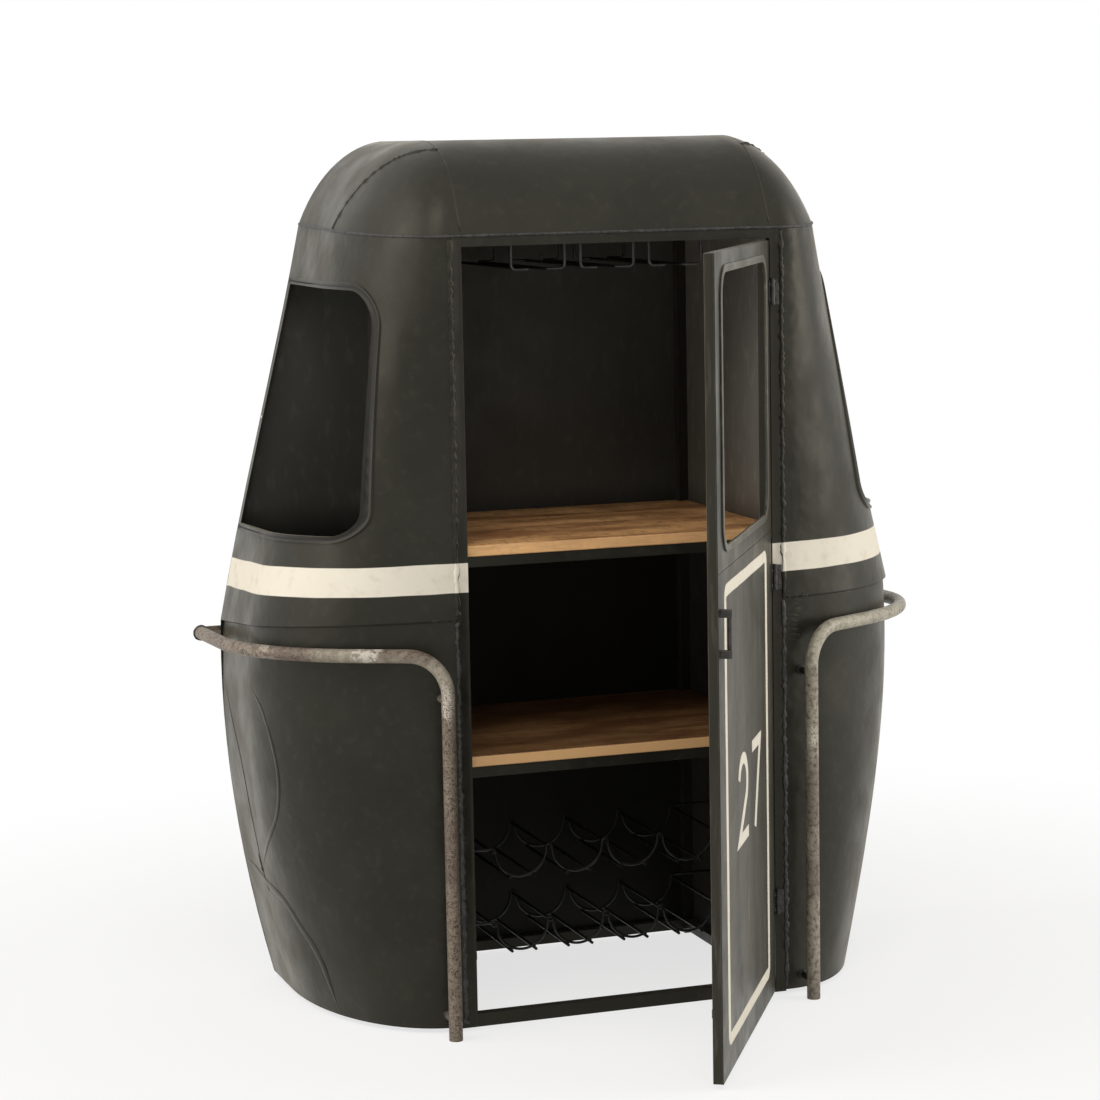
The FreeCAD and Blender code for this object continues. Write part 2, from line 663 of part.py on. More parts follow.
# Handrails: a post from the floor, a bend, a run round the shell and a straight end on the rear tab
post_x = jamb_out + size("post_step")
post_y = -size("post_forward")
rail_x = jamb_out + size("rail_reach")
rail_z = size("rail_height")
rail_radius = size("rail_diameter") / 2
turn_y = post_y + (rail_x - post_x) * math.tan(math.radians(size("rail_angle")))
rail_rear = depth + sheet
rail_points = [
    Vector(post_x, post_y, 0),
    Vector(post_x, post_y, rail_z),
    Vector(rail_x, turn_y, rail_z),
    Vector(rail_x, rail_rear, rail_z - size("rail_droop")),
]
overrun = (rail_points[3] - rail_points[2]).normalize() * size("rail_diameter")
rail_path = rail_points[:3] + [rail_points[3] + overrun]
rail_edges = rounded_path(rail_path, [0, size("rail_bend"), size("rail_curve"), 0])
beyond = Part.makeBox(2 * rail_x, 2 * size("rail_diameter"), 2 * rail_z, Vector(0, rail_rear, 0))
handrail = pipe(rail_edges, rail_radius).cut(pipe(rail_edges, rail_radius - size("rail_wall"))).cut(beyond)

post = Part.makeCylinder(rail_radius + size("weld_gap"), rail_z, Vector(post_x, post_y, 0))


def handrail_brackets(side):
    """Two standoffs between the post and the shell, and the rear tab."""
    shell_body = filled(lower_sections(side), size("weld_gap"))
    pieces = []
    for height in (size("standoff_low"), size("standoff_high")):
        bar = Part.makeCylinder(size("standoff_diameter") / 2, 2 * size("post_forward"),
                                Vector(post_x, post_y, height), Vector(0, 1, 0))
        pieces.append(bar.cut(post).cut(shell_body))
    tab_near = jamb_out + size("belly_flare") - size("tab_overlap")
    tab_low = rail_z - size("rail_droop") - size("tab_height") / 2
    tab_far = rail_x + rail_radius - size("tab_inset")
    pieces.append(Part.makeBox(tab_far - tab_near, size("tab_thickness"), size("tab_height"),
                               Vector(tab_near, rail_rear, tab_low)))
    return Part.makeCompound(pieces)


for side, sign in SIDES:
    feature(side + "_handrail", mirrored(handrail, sign))
    feature(side + "_handrail_brackets", mirrored(handrail_brackets(side), sign))

# Hinges: knuckles and leaves round an axis in front of the right jamb
hinge_heights = (size("hinge_low"), size("hinge_mid"), size("hinge_high"))
knuckle = size("knuckle") / 2
gap = size("knuckle_gap")
leaf = size("leaf")
third = size("hinge_length") / 3
forward = size("hinge_forward")


def barrel(radius, low, high):
    return Part.makeCylinder(radius, high - low, Vector(0, 0, low))


def hinge_half(sign, knuckles, gaps):
    """One half of a hinge round the axis: knuckles, a bored hole and a leaf to one side."""
    low = -size("hinge_length") / 2
    width = size("leaf_width") - gap
    corner = Vector(gap if sign > 0 else -size("leaf_width"), forward - leaf, low)
    plate = Part.makeBox(width, leaf, size("hinge_length"), corner)
    for start, end in gaps:
        plate = plate.cut(barrel(knuckle + gap, start, end))
    solid = plate.multiFuse([barrel(knuckle, start, end) for start, end in knuckles]).removeSplitter()
    return solid.cut(barrel(size("pin") / 2 + size("pin_gap"), 2 * low, -2 * low))


ends = [(-1.5 * third, -0.5 * third), (0.5 * third, 1.5 * third)]
middle_knuckle = [(-0.5 * third + gap, 0.5 * third - gap)]
frame_half = hinge_half(1, ends, [(-0.5 * third, 0.5 * third)])
door_half = hinge_half(-1, middle_knuckle, [(-2 * third, -0.5 * third + gap), (0.5 * third - gap, 2 * third)])
pin = Part.makeCylinder(size("pin") / 2, size("hinge_length"), Vector(0, 0, -size("hinge_length") / 2))
pin = pin.fuse(Part.makeCylinder(size("pin_head") / 2, size("pin_head_height"), Vector(0, 0, size("hinge_length") / 2)))
pin = pin.removeSplitter()


def at_hinges(solid):
    """The same solid at every hinge height."""
    return Part.makeCompound([solid.translated(Vector(0, 0, height)) for height in hinge_heights])


axis_place = Placement(Vector(place("hinge_x"), -forward, 0), Rotation())
door_place = Placement(Vector(place("hinge_x"), -forward, 0), Rotation(Vector(0, 0, 1), size("door_open_angle")))
feature("hinge_frame_leaves", at_hinges(frame_half)).Placement = axis_place
feature("hinge_pins", at_hinges(pin)).Placement = axis_place
feature("hinge_door_leaves", at_hinges(door_half)).Placement = door_place


# Door: drawn shut, round the hinge axis, then swung open
def swing(solid, name):
    """Hang a piece of the door on the hinge axis at its opening angle."""
    solid.Placement = door_place
    solid.setExpression("Placement.Base.x", D + "hinge_x")
    solid.setExpression("Placement.Base.y", "-Sizes.hinge_forward")
    solid.setExpression("Placement.Rotation.Angle", "Sizes.door_open_angle * 1 deg")
    return keep(solid, name)


tube_y = ("Derived.door_face + Sizes.skin", D + "door_back")
hinge_stile_x = ("-(Derived.door_edge + Sizes.door_tube)", "-Derived.door_edge")
latch_stile_x = ("-Derived.door_end", "-(Derived.door_end - Sizes.door_tube)")
between_x = ("-(Derived.door_end - Sizes.door_tube)", "-(Derived.door_edge + Sizes.door_tube)")
swing(tube("door_hinge_stile", "z", *hinge_stile_x, *tube_y, S + "door_foot", D + "door_top"), "door_hinge_stile")
swing(tube("door_latch_stile", "z", *latch_stile_x, *tube_y, S + "door_foot", D + "door_top"), "door_latch_stile")
swing(tube("door_top_rail", "x", *between_x, *tube_y, "Derived.door_top - Sizes.door_tube", D + "door_top"),
      "door_top_rail")
swing(tube("door_mid_rail", "x", *between_x, *tube_y, "Sizes.door_seam - Sizes.door_tube / 2",
           "Sizes.door_seam + Sizes.door_tube / 2"), "door_mid_rail")
swing(tube("door_bottom_rail", "x", *between_x, *tube_y, S + "door_foot", "Sizes.door_foot + Sizes.door_tube"),
      "door_bottom_rail")


def origin_plane(body, role):
    return [plane for plane in body.Origin.OriginFeatures if plane.Role == role][0]


def plate_body(name, x0, x1, z0, z1, face, thickness):
    """A plate padded from a rectangle drawn on the door's upright plane."""
    body = doc.addObject("PartDesign::Body", name)
    sketch = body.newObject("Sketcher::SketchObject", name + "_outline")
    sketch.AttachmentSupport = [(origin_plane(body, "XZ_Plane"), "")]
    sketch.MapMode = "FlatFace"
    sketch.setExpression("AttachmentOffset.Base.z", "-(%s)" % face)
    corners = [Vector(-9, 1, 0), Vector(-1, 1, 0), Vector(-1, 9, 0), Vector(-9, 9, 0)]
    for number in range(4):
        sketch.addGeometry(Part.LineSegment(corners[number], corners[(number + 1) % 4]), False)
    for number in range(4):
        sketch.addConstraint(Sketcher.Constraint("Coincident", number, 2, (number + 1) % 4, 1))
    for number in (0, 2):
        sketch.addConstraint(Sketcher.Constraint("Horizontal", number))
    for number in (1, 3):
        sketch.addConstraint(Sketcher.Constraint("Vertical", number))
    bounds = (("DistanceX", 0, 1, x0), ("DistanceX", 0, 2, x1), ("DistanceY", 0, 1, z0), ("DistanceY", 2, 1, z1))
    for kind, line, end, text in bounds:
        point = corners[line if end == 1 else line + 1]
        start = point.x if kind == "DistanceX" else point.y
        number = sketch.addConstraint(Sketcher.Constraint(kind, -1, 1, line, end, start))
        sketch.setExpression("Constraints[%d]" % number, text)
    pad = body.newObject("PartDesign::Pad", name + "_pad")
    pad.Profile = sketch
    pad.Reversed = True
    pad.setExpression("Length", thickness)
    return body


skin_x = ("-Derived.door_end", "-Derived.door_edge")
lower_skin = plate_body("door_lower_skin", *skin_x, S + "door_foot", "Sizes.door_seam - Sizes.seam_gap / 2",
                        D + "door_face", S + "skin")
swing(lower_skin, "door_lower_skin")


def door_window(inset, face, thickness):
    """Rounded outline of the door window, grown by an inset, as a solid."""
    margin = size("door_window_margin")
    left = -place("door_end") + margin - inset
    right = -place("door_edge") - margin + inset
    low = size("door_window_sill") - inset
    high = place("door_top") - size("door_window_drop") + inset
    radius = size("door_window_radius") + inset
    points = [Vector(left, face, low), Vector(right, face, low), Vector(right, face, high), Vector(left, face, high)]
    outline = Part.Wire(rounded_path(points, [radius] * 4, True))
    return Part.Face(outline).extrude(Vector(0, thickness, 0))


upper_sheet = box("door_upper_sheet", *skin_x, D + "door_face", "Derived.door_face + Sizes.skin",
                  "Sizes.door_seam + Sizes.seam_gap / 2", D + "door_top")
window_hole = doc.addObject("Part::Feature", "door_window_hole")
window_hole.Shape = door_window(0.0, forward - size("skin"), 3 * size("skin"))
swing(cut("door_upper_skin", upper_sheet, window_hole), "door_upper_skin")

trim_face = forward - size("trim_proud")
trim_ring = door_window(size("trim_width"), trim_face, size("trim_proud"))
trim_ring = trim_ring.cut(door_window(0.0, trim_face - size("skin"), size("trim_proud") + 2 * size("skin")))
feature("door_window_trim", trim_ring).Placement = door_place

# Door handle: two lugs and a round grip between them
lug_x = ("-(Derived.door_end - Sizes.lug_inset + Sizes.lug_width / 2)",
         "-(Derived.door_end - Sizes.lug_inset - Sizes.lug_width / 2)")
lug_y = ("Derived.door_face - Sizes.lug_proud", D + "door_face")
lugs = []
for which, middle in (("low", "Sizes.lug_low"), ("high", "Sizes.lug_low + Sizes.lug_spacing")):
    lugs.append(box("door_handle_%s_lug" % which, *lug_x, *lug_y, "%s - Sizes.lug_height / 2" % middle,
                    "%s + Sizes.lug_height / 2" % middle))
handle_lugs = doc.addObject("Part::Compound", "door_handle_lugs")
handle_lugs.Links = lugs
swing(handle_lugs, "door_handle_lugs")

grip_length = size("lug_spacing") - size("lug_height")
grip_y = forward - size("lug_proud") + size("grip_edge") + size("grip_diameter") / 2
grip = Part.makeCylinder(size("grip_diameter") / 2, grip_length,
                         Vector(-place("door_end") + size("lug_inset"), grip_y, size("lug_low") + size("lug_height") / 2))
feature("door_handle_grip", grip).Placement = door_place

strike_plate = plate_body("catch_plate", "-Derived.door_end", "-(Derived.door_end - Sizes.strike_width)", S + "catch_low",
                          "Sizes.catch_low + Sizes.catch_height", D + "door_back", S + "strike")
swing(strike_plate, "catch_plate")

doc.recompute()
for item in doc.Objects:
    if "Invalid" in item.State or "Error" in item.State:
        raise RuntimeError("%s did not recompute: %s" % (item.Label, item.State))

os.makedirs("parts", exist_ok=True)
for node in nodes:
    if node.Shape.isNull() or not node.Shape.isValid():
        raise RuntimeError("%s has no sound shape" % node.Label)
    node.Shape.exportStep("parts/%s.step" % node.Label)
    print(node.Label, len(node.Shape.Solids), round(node.Shape.Volume), node.Shape.BoundBox)
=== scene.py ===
# %% [markdown]
# # A bar cabinet shaped like half a cable-car cabin
#
# The real cabinet is black sheet iron on a frame of square tube, with a hinged door, two wooden
# shelves, a wire rack and two bent handrails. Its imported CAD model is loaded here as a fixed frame.
# Every solid already has its size and place, so this lesson adds what CAD leaves plain: finishes,
# softened edges, weld beads, screws and painted marks, and then a studio to look at them in.

import json
import math
import random

import bmesh
import bpy
from mathutils import Matrix, Vector
from mathutils.bvhtree import BVHTree


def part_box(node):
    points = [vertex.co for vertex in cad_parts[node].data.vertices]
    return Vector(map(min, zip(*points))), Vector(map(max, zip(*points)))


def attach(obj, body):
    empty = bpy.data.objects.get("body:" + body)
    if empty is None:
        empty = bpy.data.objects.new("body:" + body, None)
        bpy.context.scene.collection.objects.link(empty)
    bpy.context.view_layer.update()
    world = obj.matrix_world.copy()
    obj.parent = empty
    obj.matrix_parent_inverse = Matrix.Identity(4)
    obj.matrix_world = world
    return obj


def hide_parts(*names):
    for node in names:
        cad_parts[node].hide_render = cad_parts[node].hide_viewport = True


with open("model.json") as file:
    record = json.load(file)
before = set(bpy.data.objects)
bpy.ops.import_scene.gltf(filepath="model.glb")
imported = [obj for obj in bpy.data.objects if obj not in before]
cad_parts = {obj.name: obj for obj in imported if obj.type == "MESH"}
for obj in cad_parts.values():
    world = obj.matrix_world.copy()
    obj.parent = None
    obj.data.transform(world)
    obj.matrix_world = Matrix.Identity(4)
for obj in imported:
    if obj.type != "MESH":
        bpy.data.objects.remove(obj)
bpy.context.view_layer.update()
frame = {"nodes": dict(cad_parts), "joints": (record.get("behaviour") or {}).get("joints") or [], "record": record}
nodes = frame["nodes"]
record = frame["record"]
body_of = {name: body for body, names in record["behaviour"]["bodies"].items() for name in names}
slot_of = {row["node"]: row["material_slot"] for row in record["subparts"]}
scene = bpy.context.scene

# %% [markdown]
# ## The camera
#
# The picture was taken from the left with a long lens, from about the height of the roof. The
# lines of the door frame gave the focal length, the place and the tilt of that camera, so it is
# set from those numbers instead of by eye. A camera in Blender looks down its own -Z axis, which
# is why the pitch is counted from a quarter turn.

# %% Camera
PICTURE = 1100
FOCAL = 3054.33
SENSOR = 36.0
EYE = Vector((-1.68934, -4.54626, 1.41112))
YAW = math.radians(19.009)
PITCH = math.radians(-7.594)
ROLL = math.radians(-1.076)

lens = bpy.data.cameras.new("camera")
lens.sensor_width = SENSOR
lens.lens = SENSOR * FOCAL / PICTURE
camera = bpy.data.objects.new("camera", lens)
scene.collection.objects.link(camera)
heading = Matrix.Rotation(-YAW, 4, "Z")
tilt = Matrix.Rotation(math.pi / 2 + PITCH, 4, "X")
camera.matrix_world = Matrix.Translation(EYE) @ heading @ tilt @ Matrix.Rotation(ROLL, 4, "Z")
scene.camera = camera
print("lens", round(lens.lens, 2), "mm")

# %% [markdown]
# ## Arithmetic on shader sockets
#
# A finish is a small calculation that runs at every point of a surface. Wiring Math nodes one by
# one hides that calculation, so this class wraps a socket and lets Python's own operators add the
# nodes. Everything that is not arithmetic comes from the one method `make`, which takes the
# node's type, its settings and what goes into its sockets.

# %% The socket class
class Signal:
    """One output of a shader tree, usable in Python arithmetic."""

    def __init__(self, tree, socket):
        self.tree = tree
        self.socket = socket

    def make(self, kind, settings, sockets, output=0):
        """Add a node: settings first, then a value or a link for each socket."""
        node = self.tree.nodes.new(kind)
        for name, value in settings.items():
            setattr(node, name, value)
        for key, value in sockets.items():
            if isinstance(value, Signal):
                self.tree.links.new(value.socket, node.inputs[key])
            else:
                node.inputs[key].default_value = value
        return Signal(self.tree, node.outputs[output])

    def math(self, operation, first, second):
        return self.make("ShaderNodeMath", {"operation": operation}, {0: first, 1: second})

    def __add__(self, other):
        return self.math("ADD", self, other)

    def __radd__(self, other):
        return self.math("ADD", other, self)

    def __sub__(self, other):
        return self.math("SUBTRACT", self, other)

    def __rsub__(self, other):
        return self.math("SUBTRACT", other, self)

    def __mul__(self, other):
        return self.math("MULTIPLY", self, other)

    def __rmul__(self, other):
        return self.math("MULTIPLY", other, self)


print("socket class ready")

# %% [markdown]
# ## Words for finishes
#
# Each finish below is described with the same few words: cloudy noise at a scale, a soft edge at
# a place, a mix of two colours, and a bump of a given depth. All of them read Object coordinates.
# Every piece sits at the origin with its place in its mesh, so those coordinates are metres in
# the cabinet's own frame and a painted stripe can be written as a height above the floor. Normals
# are read in the piece's own frame too, so paint stays on the door when the door turns.

# %% Helpers for finishes
SIDEWAYS = Vector((1.0, 0.0, 0.0))
BACKWARD = Vector((0.0, 1.0, 0.0))
UPWARD = Vector((0.0, 0.0, 1.0))
EVEN = (1.0, 1.0, 1.0)


def new_finish(name, constants):
    """A material, its shader, and the point on the surface as a signal."""
    material = bpy.data.materials.new(name)
    material.use_nodes = True
    tree = material.node_tree
    shader = tree.nodes["Principled BSDF"]
    for key, value in constants.items():
        shader.inputs[key].default_value = value
    point = Signal(tree, tree.nodes.new("ShaderNodeTexCoord").outputs["Object"])
    return material, shader, point


def feed(shader, signals):
    """Plug signals into the shader."""
    for key, signal in signals.items():
        signal.tree.links.new(signal.socket, shader.inputs[key])


def cloud(point, scale, detail=3.0, stretch=EVEN, offset=(0.0, 0.0, 0.0)):
    """Noise between 0 and 1; a smaller stretch draws it out along that axis."""
    placing = {"Vector": point, "Scale": stretch, "Location": offset}
    moved = point.make("ShaderNodeMapping", {}, placing)
    return point.make("ShaderNodeTexNoise", {}, {"Vector": moved, "Scale": scale, "Detail": detail})


def ramp(signal, low, high, floor=0.0, ceiling=1.0):
    """A smooth step from floor to ceiling as the signal goes from low to high."""
    settings = {"interpolation_type": "SMOOTHSTEP"}
    limits = {0: signal, 1: low, 2: high, 3: floor, 4: ceiling}
    return signal.make("ShaderNodeMapRange", settings, limits)


def mix(factor, first, second):
    """A colour between two colours."""
    return factor.make("ShaderNodeMix", {"data_type": "RGBA"}, {0: factor, 6: first, 7: second}, 2)


def along(point, direction):
    """How far the point lies along a direction."""
    settings = {"operation": "DOT_PRODUCT"}
    return point.make("ShaderNodeVectorMath", settings, {0: point, 1: direction}, "Value")


def facing(point, direction):
    """How squarely the surface faces a direction, in the piece's own frame."""
    normal = point.make("ShaderNodeTexCoord", {}, {}, "Normal")
    return along(normal, direction)


def relief(height, depth, below=None):
    """Bump of a real depth in metres, over another bump if one is given."""
    sockets = {"Height": height, "Distance": depth, "Strength": 1.0}
    if below is not None:
        sockets["Normal"] = below
    return height.make("ShaderNodeBump", {}, sockets)


print("finish helpers ready")

# %% [markdown]
# ## Black sheet iron
#
# The shells were beaten over a form, welded, and painted a thin satin black. Up close the black
# is a warm dark grey with rubbed patches and a film of pale dust that shows where the sheet turns
# away. Shallow hammer dents bend its reflections, and the welds have buckled it. Modelling each
# dent would need a dense mesh, so they are bumps of a real depth. The same recipe takes an
# optional mask for cream paint, because the stripe on the shells and the border on the door are
# painted on this very sheet. The walls inside are flatter, with painted light above the upper
# shelf and painted shade below it.

# %% Black sheet
IRON_DARK = (0.0105, 0.0103, 0.0080, 1.0)
IRON_RUBBED = (0.025, 0.0245, 0.0195, 1.0)
CREAM = (0.80, 0.75, 0.65, 1.0)
CREAM_WORN = (0.68, 0.62, 0.52, 1.0)
SHEEN = 0.26
WARM_SHEEN = (1.0, 0.95, 0.78, 1.0)
DUST = 0.3
DUST_TINT = (1.0, 0.92, 0.72, 1.0)
WIDE_DENT = 0.008
SMALL_DENT = 0.0014
BUCKLE = 0.006
GRAIN = 0.00006
SATIN_SMOOTH = 0.32
SATIN_ROUGH = 0.5
PAINT_ROUGHER = 0.35
BUCKLE_FROM = (0.262, 0.282)
BUCKLE_TO = (0.285, 0.345)


def cream(point):
    """Cream paint laid on by hand, thin in places."""
    wear = ramp(cloud(point, 45.0, 8.0, offset=(0.4, 0.2, 0.7)), 0.5, 0.8)
    return mix(wear, CREAM, CREAM_WORN)


def sheet_iron(name, paint=None, streak=EVEN, dark=IRON_DARK, rubbed=IRON_RUBBED, sheen=SHEEN,
               beaten=1.0, buckled=False, lit_mask=None, dust=DUST):
    """Satin black sheet with dents, and cream paint where the mask says so."""
    material, shader, point = new_finish(name, {
        "Specular IOR Level": sheen,
        "Specular Tint": WARM_SHEEN,
        "Sheen Weight": dust,
        "Sheen Roughness": 0.35,
        "Sheen Tint": DUST_TINT,
    })
    patches = ramp(cloud(point, 5.0, 5.0, streak), 0.35, 0.7)
    scuffs = ramp(cloud(point, 60.0, 6.0, streak, (3.0, 1.0, 2.0)), 0.52, 0.72)
    worn = patches * 0.55 + scuffs * 0.45
    # Painted light and shade: the mask keeps the pale colour where light falls, the dark one in shade.
    if lit_mask is not None:
        worn = lit_mask(point) * (worn * 0.3 + 0.35)
    colour = mix(worn, dark, rubbed)
    gloss = ramp(cloud(point, 14.0, 6.0), 0.3, 0.7, SATIN_SMOOTH, SATIN_ROUGH)
    if paint is not None:
        mask = paint(point)
        colour = mix(mask, colour, cream(point))
        gloss = gloss + mask * PAINT_ROUGHER
    dents = relief(cloud(point, 6.0, 1.0), WIDE_DENT * beaten)
    if buckled:
        beside = point.math("ABSOLUTE", along(point, SIDEWAYS), 0.0)
        strip = ramp(beside, *BUCKLE_TO, 1.0, 0.0) * ramp(beside, *BUCKLE_FROM)
        dents = relief(cloud(point, 17.0, 2.0, offset=(5.0, 0.0, 3.0)) * strip, BUCKLE, dents)
    hammer = relief(cloud(point, 22.0, 2.0, offset=(1.0, 2.0, 0.0)), SMALL_DENT * beaten, dents)
    skin = relief(cloud(point, 700.0, 2.0), GRAIN, hammer)
    feed(shader, {"Base Color": colour, "Roughness": gloss, "Normal": skin})
    return material


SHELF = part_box("upper_shelf_board")[1].z
# Painted light and shade inside: pale stands for light above the upper shelf, dark for shade below.
SHADED_INNER_DARK = (0.007, 0.007, 0.006, 1.0)
LIT_INNER_PALE = (0.135, 0.134, 0.118, 1.0)
# Painted light on the right liner's face that looks left, where the door window shows it.
LINER_PAINTED_LIGHT = (0.60, 0.595, 0.55, 1.0)
UPRIGHT = (1.0, 1.0, 0.4)
INNER_SHEEN = 0.12
LINER_SHEEN = 0.3
INNER_BEATEN = 0.2
SHELF_SHADE_LINE = (SHELF - 0.03, SHELF + 0.05)
SHADE_BELOW_SHELF = 0.15
OUTSIDE = 0.55
CABIN_MIDDLE = Vector((0.0, 0.25, 0.0))


def from_middle(point):
    """The way from the cabin's middle to the point."""
    settings = {"operation": "SUBTRACT"}
    return point.make("ShaderNodeVectorMath", settings, {0: point, 1: CABIN_MIDDLE})


def lit_above_shelf(point):
    """Painted light above the upper shelf inside, painted shade below it, a plain half share outside."""
    height = ramp(along(point, UPWARD), *SHELF_SHADE_LINE, SHADE_BELOW_SHELF, 1.0)
    outside = ramp(facing(point, from_middle(point)), -0.02, 0.02)
    return height * (1 - outside) + outside * OUTSIDE


def lit_liner_face(point):
    """The same painted light, on the side that looks left into the cabinet."""
    return lit_above_shelf(point) * ramp(facing(point, -SIDEWAYS), 0.5, 0.8, 0.1, 1.0)


plain_sheet = sheet_iron("black_sheet_plain", beaten=0.5)
shell_sheet = sheet_iron("black_sheet_shell", buckled=True)
inner_lit_shaded_sheet = sheet_iron("black_sheet_inside_lit_shaded", None, UPRIGHT, SHADED_INNER_DARK, LIT_INNER_PALE, INNER_SHEEN,
                         INNER_BEATEN, lit_mask=lit_above_shelf, dust=0.0)
liner_lit_sheet = sheet_iron("black_sheet_liner_lit", None, UPRIGHT, SHADED_INNER_DARK, LINER_PAINTED_LIGHT, LINER_SHEEN,
                         INNER_BEATEN, lit_mask=lit_liner_face)
print(plain_sheet.name, shell_sheet.name, inner_lit_shaded_sheet.name, liner_lit_sheet.name)

# %% [markdown]
# ## The cream stripe round the cabin
#
# A stripe about 46 mm high runs across the jambs and round both upper shells. On the left it
# sags a little towards the back with the rim of the shell, and on the right it is level. It could
# be a thin band of mesh, but paint has no thickness to speak of, so it is a mask: two soft edges
# on the height, with the sag added, kept to surfaces that face away from the cabin's middle.

# %% Stripe on the shells
STRIPE_LOW = 0.711
STRIPE_HIGH = 0.758
STRIPE_SAG = 0.029
BRUSH_EDGE = 0.0006
STRIPE_WOBBLE = 0.004
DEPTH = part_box("left_liner")[1].y


def stripe(point):
    """Mask of the stripe on shells and jambs."""
    left = ramp(along(point, SIDEWAYS), -0.1, -0.05, 1.0, 0.0)
    inward = along(point, BACKWARD)
    wobble = (cloud(point, 9.0, 1.0) - 0.5) * STRIPE_WOBBLE
    level = along(point, UPWARD) + left * inward * (STRIPE_SAG / DEPTH) + wobble
    above = ramp(level, STRIPE_LOW - BRUSH_EDGE, STRIPE_LOW + BRUSH_EDGE)
    below = ramp(level, STRIPE_HIGH - BRUSH_EDGE, STRIPE_HIGH + BRUSH_EDGE, 1.0, 0.0)
    return above * below * ramp(facing(point, from_middle(point)), 0.0, 0.02)


striped_sheet = sheet_iron("black_sheet_striped", stripe, buckled=True)
print(striped_sheet.name)

# %% [markdown]
# ## The painted door
#
# The door carries a thin cream border and a plain two-figure number. At rest the door stands open,
# so its paint is laid out in the door's own directions: how far from the hinge axis, and how high.
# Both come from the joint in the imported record. The border is again a mask; the number follows
# later as its own thin piece, because figures are easier to draw than to calculate.

# %% Border on the door
joint = frame["joints"][0]
HINGE = Vector((joint["pos_m"][0], joint["pos_m"][1], 0.0))
OPENING = -math.radians(joint["range_deg"][0])
DOOR = Matrix.Translation(HINGE) @ Matrix.Rotation(OPENING, 4, "Z")
DOOR_WIDTH = 0.516
DOOR_EDGE = 0.004
BORDER_INSET = 0.052
BORDER_WIDTH = 0.019
BORDER_LOW = 0.050
BORDER_HIGH = 0.756
BORDER_CORNER = 0.022
BORDER_WOBBLE = 0.003
BORDER_X = DOOR_EDGE + DOOR_WIDTH / 2
BORDER_Z = (BORDER_LOW + BORDER_HIGH) / 2


def excess(value, middle, half):
    """How far a value lies beyond half a width from the middle, never below zero."""
    away = value.math("ABSOLUTE", value - middle, 0.0)
    return value.math("MAXIMUM", away - half, 0.0)


def rectangle(across, height, shrink):
    """Mask of the border's rounded rectangle, drawn in by a distance on all sides."""
    corner = BORDER_CORNER - shrink
    side = excess(across, BORDER_X, DOOR_WIDTH / 2 - BORDER_INSET - BORDER_CORNER)
    rise = excess(height, BORDER_Z, (BORDER_HIGH - BORDER_LOW) / 2 - BORDER_CORNER)
    reach = across.math("SQRT", side * side + rise * rise, 0.0)
    return ramp(reach, corner - BRUSH_EDGE, corner + BRUSH_EDGE, 1.0, 0.0)


def border(point):
    """Mask of the border on the door's outer face."""
    leftward = DOOR.to_3x3() @ -SIDEWAYS
    outward = DOOR.to_3x3() @ -BACKWARD
    wobble = (cloud(point, 12.0, 1.0) - 0.5) * BORDER_WOBBLE
    across = along(point, leftward) - HINGE.dot(leftward) + wobble
    height = along(point, UPWARD) + wobble
    ring = rectangle(across, height, 0.0) - rectangle(across, height, BORDER_WIDTH)
    return ring * ramp(facing(point, outward), 0.5, 0.8)


DOOR_DARK = (0.012, 0.0118, 0.0092, 1.0)
DOOR_RUBBED = (0.085, 0.080, 0.062, 1.0)
BRUSHED_DOWN = (2.0, 2.0, 0.2)
DOOR_DUST = 0.08
door_sheet = sheet_iron("black_sheet_door", border, BRUSHED_DOWN, DOOR_DARK, DOOR_RUBBED,
                        dust=DOOR_DUST)
print(door_sheet.name, "opening", round(math.degrees(OPENING), 1), "degrees")

# %% [markdown]
# ## Raw steel, wood, wire and hardware
#
# The handrails are old steel tube: brown rust film, grey where hands have rubbed it, which is more
# on the right one, and pale where the film has gone. The shelves are mango boards glued edge to
# edge, with grain from left to right. The upper boards carry painted light and the lower ones
# painted shade, and the front edge is a paler honey, which is painted light. Rack wires are plain
# black rod, and the rails, hinges, handle and catch are dark oiled steel. Each is a few layers of
# noise at the scale the real material shows.

# %% Raw steel
WORN_PATCH = (-0.426, 0.018, 0.628)
RUST_PALE = (0.20, 0.152, 0.112, 1.0)
RUST_DARK = (0.030, 0.018, 0.012, 1.0)
RUST_STAIN = (0.080, 0.051, 0.037, 1.0)
STEEL_LEFT = (0.29, 0.245, 0.19, 1.0)
STEEL_RIGHT = (0.43, 0.40, 0.325, 1.0)
STEEL_BEND = (0.44, 0.41, 0.325, 1.0)
STEEL_WORN = (0.50, 0.45, 0.38, 1.0)
STEEL_BARE = (0.56, 0.52, 0.45, 1.0)
PIT = 0.0005
HAND_HEIGHT = (0.5, 0.6)
BEND_DEPTH = 0.12
PATCH_REACH = (0.018, 0.030)
PATCH_RAGGED = 0.05


